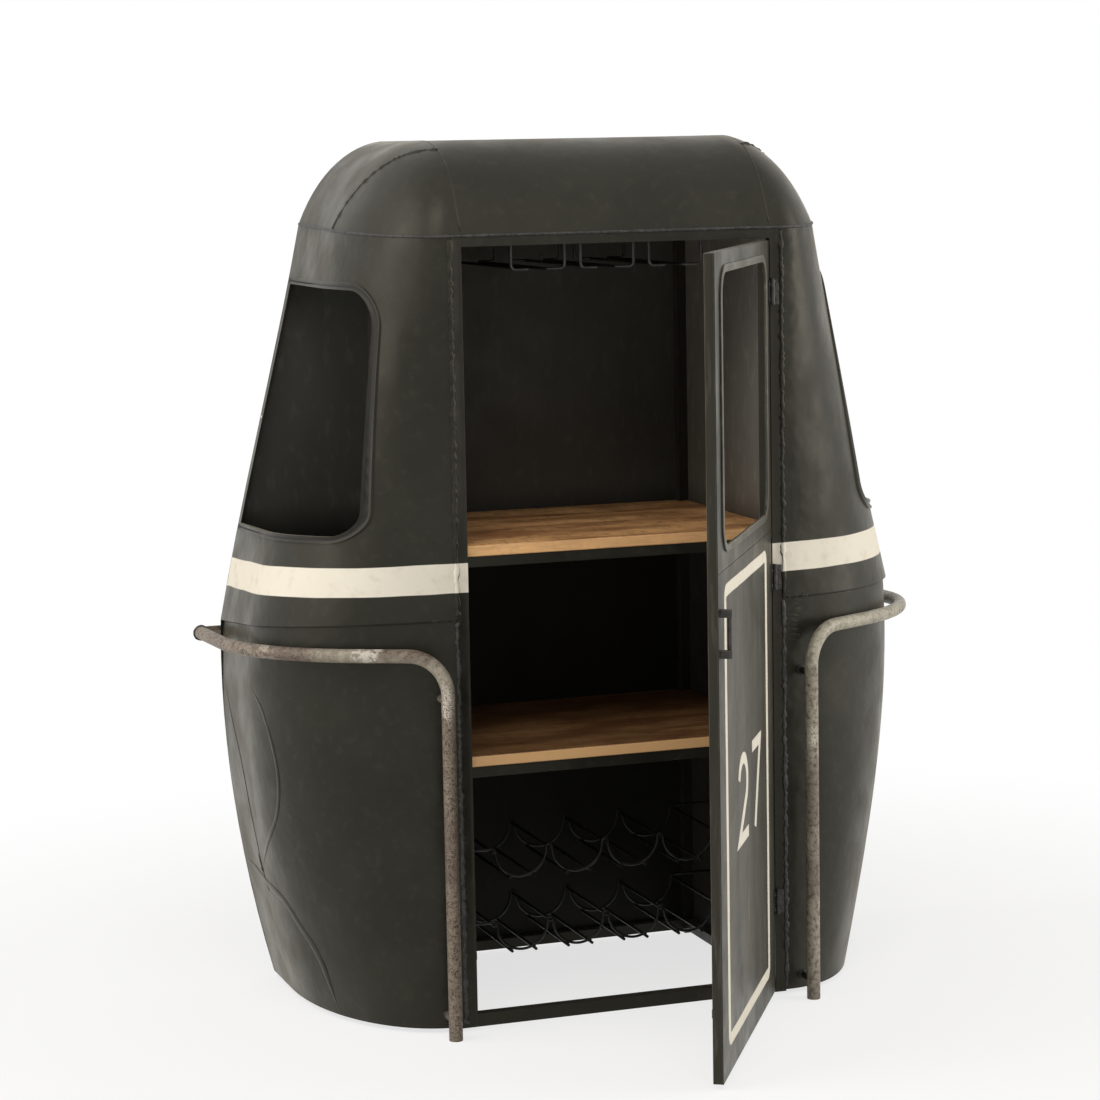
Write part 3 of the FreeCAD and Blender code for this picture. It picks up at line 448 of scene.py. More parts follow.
def raw_steel(name):
    """Rust film on steel, rubbed to grey and pale in places."""
    material, shader, point = new_finish(name, {})
    held = ramp(along(point, UPWARD), *HAND_HEIGHT)
    right = ramp(along(point, SIDEWAYS), 0.0, 0.1)
    rubbed = 0.45 + held * 0.3 + right * 0.25
    film = ramp(cloud(point, 120.0, 8.0), 0.4 - right * 0.12, 0.62) * rubbed
    spots = ramp(cloud(point, 420.0, 5.0, offset=(2.0, 0.0, 1.0)), 0.46, 0.62)
    stain = ramp(cloud(point, 14.0, 6.0, offset=(1.0, 3.0, 2.0)), 0.44, 0.66)
    worn = ramp(cloud(point, 11.0, 8.0, offset=(0.0, 5.0, 1.0)), 0.6, 0.68)
    distance = {"operation": "DISTANCE"}
    patch = point.make("ShaderNodeVectorMath", distance, {0: point, 1: WORN_PATCH}, "Value")
    ragged = patch + (cloud(point, 60.0, 4.0, offset=(3.0, 1.0, 4.0)) - 0.5) * PATCH_RAGGED
    bare = ramp(ragged, *PATCH_REACH, 1.0, 0.0) * ramp(cloud(point, 150.0, 6.0), 0.44, 0.54)
    brown = mix(spots, RUST_PALE, RUST_DARK)
    grey = mix(film, brown, mix(right, STEEL_LEFT, STEEL_RIGHT))
    colour = mix(stain * 0.5, grey, RUST_STAIN)
    bend = held * ramp(along(point, BACKWARD), 0.0, BEND_DEPTH, 0.45, 0.0)
    colour = mix(bend * (1 - stain), colour, STEEL_BEND)
    colour = mix(worn * (1 - spots), colour, STEEL_WORN)
    colour = mix(bare, colour, STEEL_BARE)
    metal = 0.2 + worn * 0.4
    gloss = 0.46 - worn * 0.1 + spots * 0.12
    pits = relief(spots * -1.0, PIT)
    feed(shader, {"Base Color": colour, "Metallic": metal, "Roughness": gloss, "Normal": pits})
    return material


steel = raw_steel("raw_steel_tube")
print(steel.name)

# %% Mango wood
PLANK = 0.108
PLANK_SHIFT = (0.73, 0.31, 0.57)
FIBRE = 0.0003
WOOD_DARK = (0.075, 0.030, 0.012, 1.0)
WOOD_WARM = (0.30, 0.138, 0.056, 1.0)
WOOD_HONEY = (0.62, 0.345, 0.148, 1.0)
WOOD_LIT_EDGE = (0.88, 0.53, 0.25, 1.0)


def painted_light_scale(colour, tone):
    """The same colour, paler for painted light, deeper for painted shade."""
    return tuple(value * tone for value in colour[:3]) + (1.0,)


def mango(name, tone, edge):
    """Boards glued edge to edge, grain from left to right."""
    material, shader, point = new_finish(name, {"Specular IOR Level": 0.35})
    planks = along(point, BACKWARD) * (1 / PLANK)
    plank = planks.make("ShaderNodeMath", {"operation": "FLOOR"}, {0: planks})
    steps = {axis: plank * step for axis, step in zip("XYZ", PLANK_SHIFT)}
    shift = point.make("ShaderNodeCombineXYZ", {}, steps)
    own = point.make("ShaderNodeVectorMath", {"operation": "ADD"}, {0: point, 1: shift})
    figure = cloud(own, 15.0, 8.0, (0.42, 1.0, 1.0))
    fibre = cloud(own, 420.0, 4.0, (0.05, 1.0, 1.0))
    chatter = cloud(own, 110.0, 5.0, (1.0, 0.25, 1.0), (2.0, 7.0, 1.0))
    knots = ramp(cloud(own, 12.0, 5.0, (0.55, 1.0, 1.0), (4.0, 2.0, 0.0)), 0.56, 0.72)
    # Painted light: the face towards the front is painted a paler honey where the front light falls.
    front = ramp(facing(point, -BACKWARD), 0.6, 0.9)
    colour = mix(ramp(figure, 0.36, 0.66), painted_light_scale(WOOD_WARM, tone), painted_light_scale(WOOD_HONEY, tone))
    colour = mix(ramp(fibre, 0.46, 0.7) * 0.6, colour, WOOD_DARK)
    colour = mix(ramp(chatter, 0.5, 0.66) * 0.3, colour, WOOD_DARK)
    colour = mix(knots * 0.5, colour, WOOD_DARK)
    colour = mix(front * edge, colour, WOOD_LIT_EDGE)
    gloss = ramp(fibre, 0.4, 0.7, 0.42, 0.6)
    feed(shader, {"Base Color": colour, "Roughness": gloss, "Normal": relief(fibre, FIBRE)})
    return material


# Painted light on the upper boards, painted shade on the lower ones under the upper shelf.
wood = mango("mango_boards", tone=1.6, edge=0.65)
shaded_wood = mango("mango_boards_shaded", tone=0.5, edge=0.9)
print(wood.name, shaded_wood.name)

# %% Black wire, dark hardware, welds and figures
def dark_metal(name, dark, pale, metallic, rough, scale, depth, sheen=0.5):
    """A dark metal with small changes of tone and a fine surface."""
    material, shader, point = new_finish(name, {"Metallic": metallic, "Specular IOR Level": sheen})
    tone = ramp(cloud(point, scale, 5.0), 0.35, 0.7)
    feed(shader, {
        "Base Color": mix(tone, dark, pale),
        "Roughness": rough + tone * 0.15,
        "Normal": relief(cloud(point, scale * 4, 3.0), depth),
    })
    return material


WIRE_DARK = (0.007, 0.007, 0.006, 1.0)
WIRE_PALE = (0.016, 0.0155, 0.014, 1.0)
OILED_DARK = (0.018, 0.018, 0.016, 1.0)
OILED_PALE = (0.050, 0.047, 0.042, 1.0)
WELD_PALE = (0.045, 0.042, 0.037, 1.0)
black_wire = dark_metal("black_wire_rod", WIRE_DARK, WIRE_PALE, metallic=0.0, rough=0.36,
                        scale=90.0, depth=0.0001, sheen=0.2)
hardware = dark_metal("dark_hardware_steel", OILED_DARK, OILED_PALE, metallic=0.4, rough=0.36,
                      scale=120.0, depth=0.0001)
weld = dark_metal("weld_metal", WIRE_DARK, WELD_PALE, metallic=0.1, rough=0.42, scale=150.0,
                  depth=0.0004)
cream_paint, shader, point = new_finish("cream_paint", {"Roughness": 0.5})
feed(shader, {"Base Color": cream(point)})
print(black_wire.name, hardware.name, weld.name, cream_paint.name)

# %% [markdown]
# ## Which node gets which finish
#
# The record gives every CAD node a material slot, and each slot has one finish here. A few nodes
# differ: the upper shells and jambs wear the stripe, the door's outer pieces are rubbed and wear
# the border, the walls inside are dull with painted light above the upper shelf and painted shade
# below it, the right liner has painted light where the door window shows it, the stemware rails
# and the right rail's standoffs are dark oiled steel. The lower shelf's wood carries painted shade
# and the other wood painted light.

# %% Dress the CAD nodes
BY_SLOT = {
    "black_sheet": plain_sheet,
    "raw_steel": steel,
    "mango_wood": wood,
    "black_wire": black_wire,
    "dark_hardware": hardware,
}
STRIPED = ("left_jamb", "right_jamb", "left_upper_shell", "right_upper_shell")
DOOR_SKINS = ("door_lower_skin", "door_upper_skin", "door_latch_stile", "door_top_rail")
BY_NODE = {
    **dict.fromkeys(STRIPED, striped_sheet),
    **dict.fromkeys(DOOR_SKINS, door_sheet),
    **dict.fromkeys(("left_lower_shell", "right_lower_shell"), shell_sheet),
    **dict.fromkeys(("back_panel", "left_liner"), inner_lit_shaded_sheet),
    "right_liner": liner_lit_sheet,
    "stemware_rails": hardware,
    "right_handrail_brackets": hardware,
    "lower_shelf_board": shaded_wood,
}


def finish_for(name):
    """The node's own finish, or the one of its slot."""
    return BY_NODE.get(name) or BY_SLOT[slot_of[name]]


for name, node in nodes.items():
    node.data.materials.clear()
    node.data.materials.append(finish_for(name))
print("dressed", len(nodes), "nodes")

# %% [markdown]
# ## Softened edges
#
# Real tube, board and bar have rounded edges that catch a thin line of light, while a CAD solid
# has perfect corners. For the pieces seen close to the doorway, a copy of the solid is merged into
# one mesh, its flat faces are joined again and its sharp edges are bevelled. The copy then stands
# for the node. The bevel operator needs its kind, segments and profile spelled out in a script,
# and it hands back the new faces. On the door and the window trims these get a paler finish:
# partly paint rubbed off by hands and weather, partly a painted highlight along the edge.
# The trims of the side windows first get a shallow channel, which shows as a dark line between
# two ridges: their outer faces are inset together and pressed inwards, and the channel's floor
# gets the black of the wire rod as painted shade.

# %% Pieces with softened edges
def new_piece(name, bm, finish, body, smooth=False):
    """Turn a bmesh into an object that rides on a body."""
    if smooth:
        for face in bm.faces:
            face.smooth = True
    mesh = bpy.data.meshes.new(name)
    bm.to_mesh(mesh)
    bm.free()
    mesh.materials.append(finish)
    piece = bpy.data.objects.new(name, mesh)
    scene.collection.objects.link(piece)
    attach(piece, body)
    print(name, len(mesh.polygons), "faces")
    return piece


SHARP = math.radians(40)
FLAT = math.radians(0.5)
MERGE = 0.00001
EDGE_DARK = (0.035, 0.034, 0.028, 1.0)
EDGE_PALE_HIGHLIGHT = (0.16, 0.15, 0.125, 1.0)
EDGE_SHEEN = 0.4
WORN_HIGHLIT_FACES = 1
SHADED_CHANNEL_FACES = 2
OUTER_FACING = 0.6
# Partly rubbed paint, partly painted highlight: the bevel faces are made paler than the sheet.
rubbed_highlit_edge = sheet_iron("black_sheet_rubbed_edge", None, EVEN, EDGE_DARK, EDGE_PALE_HIGHLIGHT, EDGE_SHEEN)
trim_highlit_edge = sheet_iron("black_sheet_trim_edge", None, EVEN, IRON_RUBBED, EDGE_DARK, EDGE_SHEEN)


def groove(bm, wall, depth):
    """Press a channel into the faces that look away from the cabin's middle."""
    outer = []
    for face in bm.faces:
        away = face.calc_center_median() - CABIN_MIDDLE
        if face.normal.dot(Vector((away.x, away.y, 0.0)).normalized()) > OUTER_FACING:
            outer.append(face)
    bmesh.ops.inset_region(bm, faces=outer, thickness=wall, depth=-depth, use_boundary=True,
                           use_even_offset=True)
    for face in outer:
        face.material_index = SHADED_CHANNEL_FACES
    print("groove over", len(outer), "faces")


def soften(name, width, segments=2, rejoin=True, worn=None, channel=None):
    """A copy of a CAD node with rounded edges, standing for that node."""
    bm = bmesh.new()
    bm.from_mesh(nodes[name].data)
    bmesh.ops.remove_doubles(bm, verts=bm.verts, dist=MERGE)
    if channel is not None:
        groove(bm, *channel)
    if rejoin:
        bmesh.ops.dissolve_limit(bm, angle_limit=FLAT, verts=bm.verts, edges=bm.edges)
    sharp = [edge for edge in bm.edges if edge.is_manifold and edge.calc_face_angle() > SHARP]
    made = bmesh.ops.bevel(bm, geom=sharp, offset=width, offset_type="OFFSET", segments=segments,
                           profile=0.5, affect="EDGES", material=-1, clamp_overlap=True)
    bmesh.ops.dissolve_degenerate(bm, dist=MERGE, edges=bm.edges)
    if worn is not None:
        for face in made["faces"]:
            if face.is_valid:
                face.material_index = WORN_HIGHLIT_FACES
    piece = new_piece("soft_" + name, bm, finish_for(name), body_of[name])
    if worn is not None:
        piece.data.materials.append(worn)
    # The channel's floor takes the black wire finish: painted shade in the groove.
    if channel is not None:
        piece.data.materials.append(black_wire)
    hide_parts(name)
    return piece


TUBE_EDGE = 0.0006
BOARD_EDGE = 0.0022
TRIM_EDGE = 0.0014
CHANNEL_WALL = 0.0042
CHANNEL_DEPTH = 0.0025
TUBES = ("left_jamb", "right_jamb", "head_rail", "sill_rail", "upper_shelf_front_bar",
         "lower_shelf_front_bar", "door_catch")
DOOR_TUBES = ("door_hinge_stile", "door_latch_stile", "door_top_rail", "door_mid_rail",
              "door_bottom_rail", "door_handle_lugs")
for name in TUBES:
    soften(name, TUBE_EDGE)
for name in DOOR_TUBES:
    soften(name, TUBE_EDGE, worn=rubbed_highlit_edge)
for name in ("upper_shelf_board", "lower_shelf_board"):
    soften(name, BOARD_EDGE, 3)
for name in ("left_window_trim", "right_window_trim"):
    soften(name, TRIM_EDGE, 2, False, trim_highlit_edge, (CHANNEL_WALL, CHANNEL_DEPTH))
soften("door_window_trim", TRIM_EDGE, 2, False, rubbed_highlit_edge)

# %% [markdown]
# ## Weld beads
#
# The sheets meet in hand-laid welds: along each jamb, round the foot of the roof, up the seams of
# the roof's gores and across the lower shells. A bead is a small circle pulled along a path, a
# little fatter here and thinner there. The path is drawn in a flat view and dropped on to the
# solid with a ray, so the bead lies on the real surface whatever its curve.

# %% Path and bead helpers
BEAD_STEP = 0.006
RING = 8


def surface(*names):
    """A search tree over some CAD nodes."""
    bm = bmesh.new()
    for name in names:
        bm.from_mesh(nodes[name].data)
    tree = BVHTree.FromBMesh(bm)
    bm.free()
    return tree


def curve_through(points, step=BEAD_STEP):
    """Evenly spaced points on a smooth curve through a few points."""
    ends = [points[0] * 2 - points[1]] + list(points) + [points[-1] * 2 - points[-2]]
    line = []
    for a, b, c, d in zip(ends, ends[1:], ends[2:], ends[3:]):
        count = max(2, round((c - b).length / step))
        for number in range(count):
            t = number / count
            cubic = a * -1 + b * 3 - c * 3 + d
            square = a * 2 - b * 5 + c * 4 - d
            line.append(b + (cubic * t ** 3 + square * t ** 2 + (c - a) * t) * 0.5)
    return line + [points[-1]]


def wander(line, across, amount, seed):
    """The same line drawn by an unsteady hand."""
    dice = random.Random(seed)
    return [point + across * amount * dice.uniform(-1, 1) for point in line]


def drop(tree, line, direction):
    """Where rays along a direction meet the surface, with the surface's normals."""
    landed = []
    for point in line:
        place, normal, _, _ = tree.ray_cast(point, direction)
        if place is not None:
            if normal.dot(direction) > 0:
                normal = -normal
            landed.append((place, normal))
    return landed


def ring_frames(path, radius, flat, uneven, dice, taper):
    """A frame for the ring at each point of a path, smaller over the taper at both ends."""
    frames = []
    for number, (place, normal) in enumerate(path):
        before = path[max(number - 1, 0)][0]
        after = path[min(number + 1, len(path) - 1)][0]
        heading = (after - before).normalized()
        side = heading.cross(normal).normalized()
        rise = side.cross(heading)
        basis = Matrix((side, rise, heading)).transposed().to_4x4()
        from_end = min(number, len(path) - 1 - number) + 1
        size = radius * (1 + uneven * dice.uniform(-1, 1)) * min(1.0, from_end / taper)
        shape = Matrix.Diagonal((size, size * flat, 1, 1))
        frames.append(Matrix.Translation(place) @ basis @ shape)
    return frames


def only(geom, kind):
    """The vertices, or the edges, among what an operator handed back."""
    return [item for item in geom if isinstance(item, kind)]


def pull(bm, edges, frames):
    """Extrude edges through all the frames and hand back the last ones."""
    for before, after in zip(frames, frames[1:]):
        grown = bmesh.ops.extrude_edge_only(bm, edges=edges)["geom"]
        verts = only(grown, bmesh.types.BMVert)
        fresh = set(verts)
        edges = [edge for edge in only(grown, bmesh.types.BMEdge) if fresh.issuperset(edge.verts)]
        bmesh.ops.transform(bm, matrix=after @ before.inverted(), verts=verts)
    return edges


def pull_ring(bm, frames):
    """A closed tube: one ring pulled through all the frames."""
    ring = bmesh.ops.create_circle(bm, cap_ends=True, segments=RING, radius=1.0)["verts"]
    bmesh.ops.transform(bm, matrix=frames[0], verts=ring)
    edges = list({edge for vert in ring for edge in vert.link_edges})
    bmesh.ops.contextual_create(bm, geom=pull(bm, edges, frames))


def bead_piece(name, paths, radius, flat, uneven, seed, finish=weld, taper=1):
    """One or more beads as a piece of the cabinet."""
    dice = random.Random(seed)
    bm = bmesh.new()
    for path in paths:
        pull_ring(bm, ring_frames(path, radius, flat, uneven, dice, taper))
    bmesh.ops.recalc_face_normals(bm, faces=bm.faces)
    return new_piece(name, bm, finish, "cabinet", smooth=True)


print("bead helpers ready")

# %% Welds along the jambs
SIDES = (("left", -1), ("right", 1))
JAMB_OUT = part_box("right_jamb")[1].x
FRONT = -0.2
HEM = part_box("left_lower_shell")[0].z
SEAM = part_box("right_jamb")[1].z
RIM = 0.669
WELD_WIDTH = 0.0036
WELD_STEP = 0.0045
WELD_ASIDE = 0.0022
WELD_SHORT = 0.005
WELD_WANDER = 0.0012

for side, sign in SIDES:
    shells = surface(side + "_lower_shell", side + "_upper_shell")
    edge = sign * (JAMB_OUT + WELD_ASIDE)
    for part, low, high, finish in (("lower", HEM, RIM, weld), ("upper", RIM, SEAM, striped_sheet)):
        ends = [Vector((edge, FRONT, z)) for z in (low + WELD_SHORT, high - WELD_SHORT)]
        line = wander(curve_through(ends, WELD_STEP), SIDEWAYS, WELD_WANDER, 40 + sign)
        bead_piece("%s_%s_jamb_weld" % (side, part), [drop(shells, line, BACKWARD)], WELD_WIDTH,
                   flat=0.6, uneven=0.5, seed=3 + sign, finish=finish)

# %% [markdown]
# ## The lapped rim
#
# The upper shell laps over the lower one. Under the rim a thin dark bead paints the shadow of the
# lap, and beside each jamb a short lumpy weld holds it. The bead follows the plan of the shell, a
# quarter of an ellipse and then straight back, and rays from outside drop it on the lower shell.

# %% Rim joint
RIM_FALL = {"left": 0.045, "right": 0.004}
RIM_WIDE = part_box("right_upper_shell")[1].x
STRIP = JAMB_OUT + 0.008
TURN = 0.255
SHADOW_BEAD = 0.0016
SHADOW_DROP = 0.0012
RIM_WELD = 0.045
RIM_WELD_WIDTH = 0.0034
RIM_WELD_STEP = 0.004
AWAY = 0.05
REAR_SHORT = 0.002


def plan_line(wide, steps=60):
    """Points and outward normals of the right shell's plan, from the jamb to the back."""
    line = [(STRIP, 0.0, -BACKWARD)]
    for number in range(1, steps + 1):
        angle = math.pi / 2 * number / steps
        x = STRIP + (wide - STRIP) * math.sin(angle)
        y = TURN * (1 - math.cos(angle))
        normal = Vector((math.sin(angle) / (wide - STRIP), -math.cos(angle) / TURN, 0.0))
        line.append((x, y, normal.normalized()))
    for number in range(1, steps // 2 + 1):
        y = TURN + (DEPTH - REAR_SHORT - TURN) * number / (steps // 2)
        line.append((wide, y, SIDEWAYS))
    return line


def rim_path(side, sign, below):
    """The rim's line on the lower shell, some way below the rim."""
    shell = surface(side + "_lower_shell")
    path = []
    for x, y, normal in plan_line(RIM_WIDE):
        out = Vector((sign * normal.x, normal.y, 0.0))
        start = Vector((sign * x, y, RIM - below - RIM_FALL[side] * y / DEPTH)) + out * AWAY
        path += drop(shell, [start], -out)
    return path


for side, sign in SIDES:
    # Painted shadow: a thin dark bead just under the rim stands for the shade of the lap.
    painted_shadow = rim_path(side, sign, SHADOW_DROP)
    bead_piece(side + "_rim_painted_shadow", [painted_shadow], SHADOW_BEAD, flat=0.7, uneven=0.2, seed=50 + sign,
               finish=inner_lit_shaded_sheet)
    ends = [Vector((sign * (JAMB_OUT + reach), FRONT, RIM)) for reach in (0.0, RIM_WELD)]
    shells = surface(side + "_lower_shell", side + "_upper_shell")
    lumps = drop(shells, curve_through(ends, RIM_WELD_STEP), BACKWARD)
    bead_piece(side + "_rim_weld", [lumps], RIM_WELD_WIDTH, flat=0.9, uneven=0.5, seed=8 + sign,
               finish=plain_sheet)

# %% Welds of the roof
ROOF = surface("roof_centre", "roof_left_gore", "roof_right_gore", "roof_left_side",
               "roof_right_side")
ROOF_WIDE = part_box("roof_right_side")[1].x
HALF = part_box("roof_centre")[1].x
SEAM_CLIMB = 0.014
HIP_APEX = Vector((HALF, 0.112, 0.0))
HIP_FOOT = Vector((ROOF_WIDE - 0.0015, 0.240, 0.0))
ROOF_BEAD = 0.0024
HIP_BEAD = ROOF_BEAD * 1.2
FAINT_BEAD = 0.0015
HIP_WANDER = 0.0014
SEAM_STOPS = (0.003, HIP_APEX.y, DEPTH - 0.004)
FOOT_STEPS = 40
OVERHEAD = Vector((0.0, 0.0, 2.0))


def roof_foot():
    """The roof's lower edge from the left rear, round the front, to the right rear."""
    half_line = []
    for number in range(FOOT_STEPS + 1):
        angle = math.pi / 2 * number / FOOT_STEPS
        x = STRIP + (ROOF_WIDE - STRIP) * math.sin(angle)
        y = TURN * (1 - math.cos(angle))
        half_line.append((x, y, Vector((math.sin(angle), -math.cos(angle), 0.0))))
    half_line.append((ROOF_WIDE, DEPTH, SIDEWAYS))
    path = []
    for sign, half in ((-1, half_line[::-1]), (1, half_line)):
        for x, y, normal in half:
            place = Vector((sign * x, y, SEAM + SEAM_CLIMB * y / DEPTH))
            path.append((place, Vector((sign * normal.x, normal.y, 0.0))))
    return path


def refine(path, step=BEAD_STEP):
    """The same path with points no further apart than a step."""
    fine = []
    for (place, normal), (next_place, next_normal) in zip(path, path[1:]):
        count = max(1, math.ceil((next_place - place).length / step))
        for number in range(count):
            share = number / count
            tilt = normal.lerp(next_normal, share).normalized()
            fine.append((place.lerp(next_place, share), tilt))
    return fine + [path[-1]]


bead_piece("roof_foot_weld", [refine(roof_foot())], ROOF_BEAD, flat=0.8, uneven=0.25, seed=11)
hips = []
straights = []
for sign in (-1, 1):
    flip = Vector((sign, 1.0, 1.0))
    hip = [HIP_APEX.lerp(HIP_FOOT, share) * flip + OVERHEAD for share in (0.0, 0.5, 1.0)]
    line = wander(curve_through(hip, WELD_STEP), SIDEWAYS, HIP_WANDER, 60 + sign)
    hips.append(drop(ROOF, line, -UPWARD))
    straight = [Vector((sign * HALF, y, 0.0)) + OVERHEAD for y in SEAM_STOPS]
    straights.append(drop(ROOF, curve_through(straight), -UPWARD))
bead_piece("roof_hip_welds", hips, HIP_BEAD, flat=0.7, uneven=0.7, seed=12, finish=inner_lit_shaded_sheet)
bead_piece("roof_seam_welds", straights, FAINT_BEAD, flat=0.35, uneven=0.2, seed=13,
           finish=plain_sheet)

# %% [markdown]
# ## Creases on the lower shells
#
# Each lower shell is pieced together: a long seam comes down from the rear edge, a lens-shaped
# panel is let in beside it, and a last seam sweeps forward to the hem. On the real cabinet they
# show as raised, ground-down welds, the last one wider, with a rough dark knot where they meet. A
# few points in the side view give each line, the smooth curve runs through them, and a ray from
# the side drops it on the shell. The far side, which was not seen, is given the mirror image. On
# the right the sheet is also crumpled under the rim, in short ripples beside the jamb.

# %% Creases
REAR_SEAM = ((0.436, 0.530), (0.400, 0.470), (0.352, 0.396), (0.331, 0.301), (0.322, 0.233),
             (0.315, 0.200))
LENS_SEAM = ((0.262, 0.548), (0.204, 0.509), (0.175, 0.425), (0.193, 0.341), (0.262, 0.270),
             (0.319, 0.222))
FOOT_SEAM = ((0.440, 0.214), (0.380, 0.209), (0.315, 0.200), (0.239, 0.188), (0.193, 0.148),
             (0.160, 0.101), (0.144, 0.014))
KNOT = ((0.327, 0.247), (0.318, 0.215), (0.304, 0.184))
# Each row: name, lines, width, flatness, unevenness, finish, taper
CREASE_LINES = (
    ("shell_creases", (REAR_SEAM, LENS_SEAM), 0.0045, 0.18, 0.08, plain_sheet, 12),
    ("foot_crease", (FOOT_SEAM,), 0.0075, 0.14, 0.08, plain_sheet, 12),
    ("crease_knot", (KNOT,), 0.0022, 0.8, 0.7, inner_lit_shaded_sheet, 3),
)
BESIDE = 1.0

for side, sign in SIDES:
    shell = surface(side + "_lower_shell")
    for part, seams, radius, flat, uneven, finish, taper in CREASE_LINES:
        lines = [curve_through([Vector((sign * BESIDE, y, z)) for y, z in seam]) for seam in seams]
        paths = [drop(shell, line, SIDEWAYS * -sign) for line in lines]
        bead_piece(side + "_" + part, paths, radius, flat, uneven, 20 + sign, finish, taper)

# %% Ripples under the right rim
RIPPLES = 9
RIPPLE_TOP = RIM - 0.009
RIPPLE_STEP = 0.008
RIPPLE_IN = JAMB_OUT + 0.008
RIPPLE = 0.0046
RIPPLE_FINE = 0.002
RIPPLE_REACH = (0.022, 0.036)
RIPPLE_SHRINK = 0.4
RIPPLE_SLANT = (-0.002, 0.003)
dice = random.Random(71)
shell = surface("right_lower_shell")
paths = []
for number in range(RIPPLES):
    level = RIPPLE_TOP - number * RIPPLE_STEP
    reach = RIPPLE_IN + dice.uniform(*RIPPLE_REACH) * (1 - RIPPLE_SHRINK * number / RIPPLES)
    slant = dice.uniform(*RIPPLE_SLANT)
    ends = [Vector((RIPPLE_IN, FRONT, level)), Vector((reach, FRONT, level + slant))]
    paths.append(drop(shell, curve_through(ends, RIPPLE_FINE), BACKWARD))
bead_piece("right_shell_ripples", paths, RIPPLE, flat=0.2, uneven=0.05, seed=72,
           finish=shell_sheet, taper=10)

# %% [markdown]
# ## Welds of the rails and the rack
#
# Each standoff is welded to its post and to the shell, each rail to its rear tab, and every rod of
# the rack to the wires that it crosses. Round joints get a bead bent into a ring. The rack has
# dozens of joints, so each one is only a small flattened ball.

# %% Ring welds on the handrails
def ring_path(middle, axis, radius, count=16):
    """A circle of points with outward normals."""
    across = axis.orthogonal().normalized()
    path = []
    for number in range(count + 1):
        spoke = Matrix.Rotation(2 * math.pi * number / count, 3, axis) @ across
        path.append((middle + spoke * radius, spoke))
    return path


POST_X = 0.310
POST_BACK = -0.029
STANDOFF = 0.006
STANDOFF_HEIGHTS = (0.030, 0.545)
RAIL_RADIUS = 0.011
RAIL_END = Vector((0.592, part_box("left_handrail")[1].y, 0.604))
FILLET = 0.0022
FILLET_SHIFT = 0.001
FILLET_OUT = 0.0006

for side, sign in SIDES:
    flip = Vector((sign, 1.0, 1.0))
    shell = surface(side + "_lower_shell")
    tab = (RAIL_END - BACKWARD * FILLET_SHIFT) * flip
    rings = [ring_path(tab, BACKWARD, RAIL_RADIUS + FILLET_OUT, 24)]
    for height in STANDOFF_HEIGHTS:
        post = Vector((sign * POST_X, POST_BACK + FILLET_SHIFT, height))
        rings.append(ring_path(post, BACKWARD, STANDOFF))
        landing = shell.ray_cast(Vector((sign * POST_X, FRONT, height)), BACKWARD)[0]
        rings.append(ring_path(landing - BACKWARD * FILLET_SHIFT, BACKWARD, STANDOFF))
    bead_piece(side + "_handrail_welds", rings, FILLET, flat=0.9, uneven=0.2, seed=30 + sign)

# %% Joints of the rack
PITCH_LOOP = 0.098
LOOPS = 4
WIRE_RADIUS = 0.00225
ROD_RADIUS = 0.0025
HAIRLINE = 0.0001
LOOP_RADIUS = PITCH_LOOP / 2 - WIRE_RADIUS - ROD_RADIUS - HAIRLINE
ROD_ANGLE = math.radians(25)
BLOB = 0.0036
BLOB_SHAPE = Matrix.Diagonal((1.0, 0.9, 0.8, 1.0))

bm = bmesh.new()
for tier in ("lower", "upper"):
    rear_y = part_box(tier + "_rack_rear_wire")[0].y + WIRE_RADIUS
    front_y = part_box(tier + "_rack_front_wire")[0].y + WIRE_RADIUS
    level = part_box(tier + "_rack_front_wire")[0].z + WIRE_RADIUS + LOOP_RADIUS
    spots = []
    for number in range(LOOPS + 1):
        spots.append(((number - LOOPS / 2) * PITCH_LOOP, level + ROD_RADIUS))
    for number in range(LOOPS):
        middle = (number + 0.5 - LOOPS / 2) * PITCH_LOOP
        for turn in (-ROD_ANGLE, ROD_ANGLE):
            reach = LOOP_RADIUS + WIRE_RADIUS
            spots.append((middle + reach * math.sin(turn), level - reach * math.cos(turn)))
    for y in (front_y, rear_y):
        for x, z in spots:
            place = Matrix.Translation((x, y, z)) @ BLOB_SHAPE
            bmesh.ops.create_icosphere(bm, subdivisions=1, radius=BLOB, matrix=place)
new_piece("rack_welds", bm, black_wire, "cabinet", smooth=True)

# %% [markdown]
# ## Screws, bolts and a rivet
#
# The hinges are screwed to the jamb and the door, the rear tabs are bolted to the back, and one
# pale rivet head shows on the strip behind the left window. Paint has filled the slots of the
# screws, so a screw or a rivet is a ball pressed to half its height and set on its surface. Bolt
# heads are six-sided cylinders with a bevelled rim.

# %% Screw and bolt heads
def frame_on(place, normal):
    """A frame whose Z axis is the normal of the surface."""
    return Matrix.Translation(place) @ normal.to_track_quat("Z", "Y").to_matrix().to_4x4()


def add_dome(bm, place, normal, radius):
    """A low round head."""
    made = bmesh.ops.create_uvsphere(bm, u_segments=16, v_segments=10, radius=radius)["verts"]
    bmesh.ops.scale(bm, vec=(1.0, 1.0, 0.5), verts=made)
    bmesh.ops.transform(bm, matrix=frame_on(place, normal), verts=made)


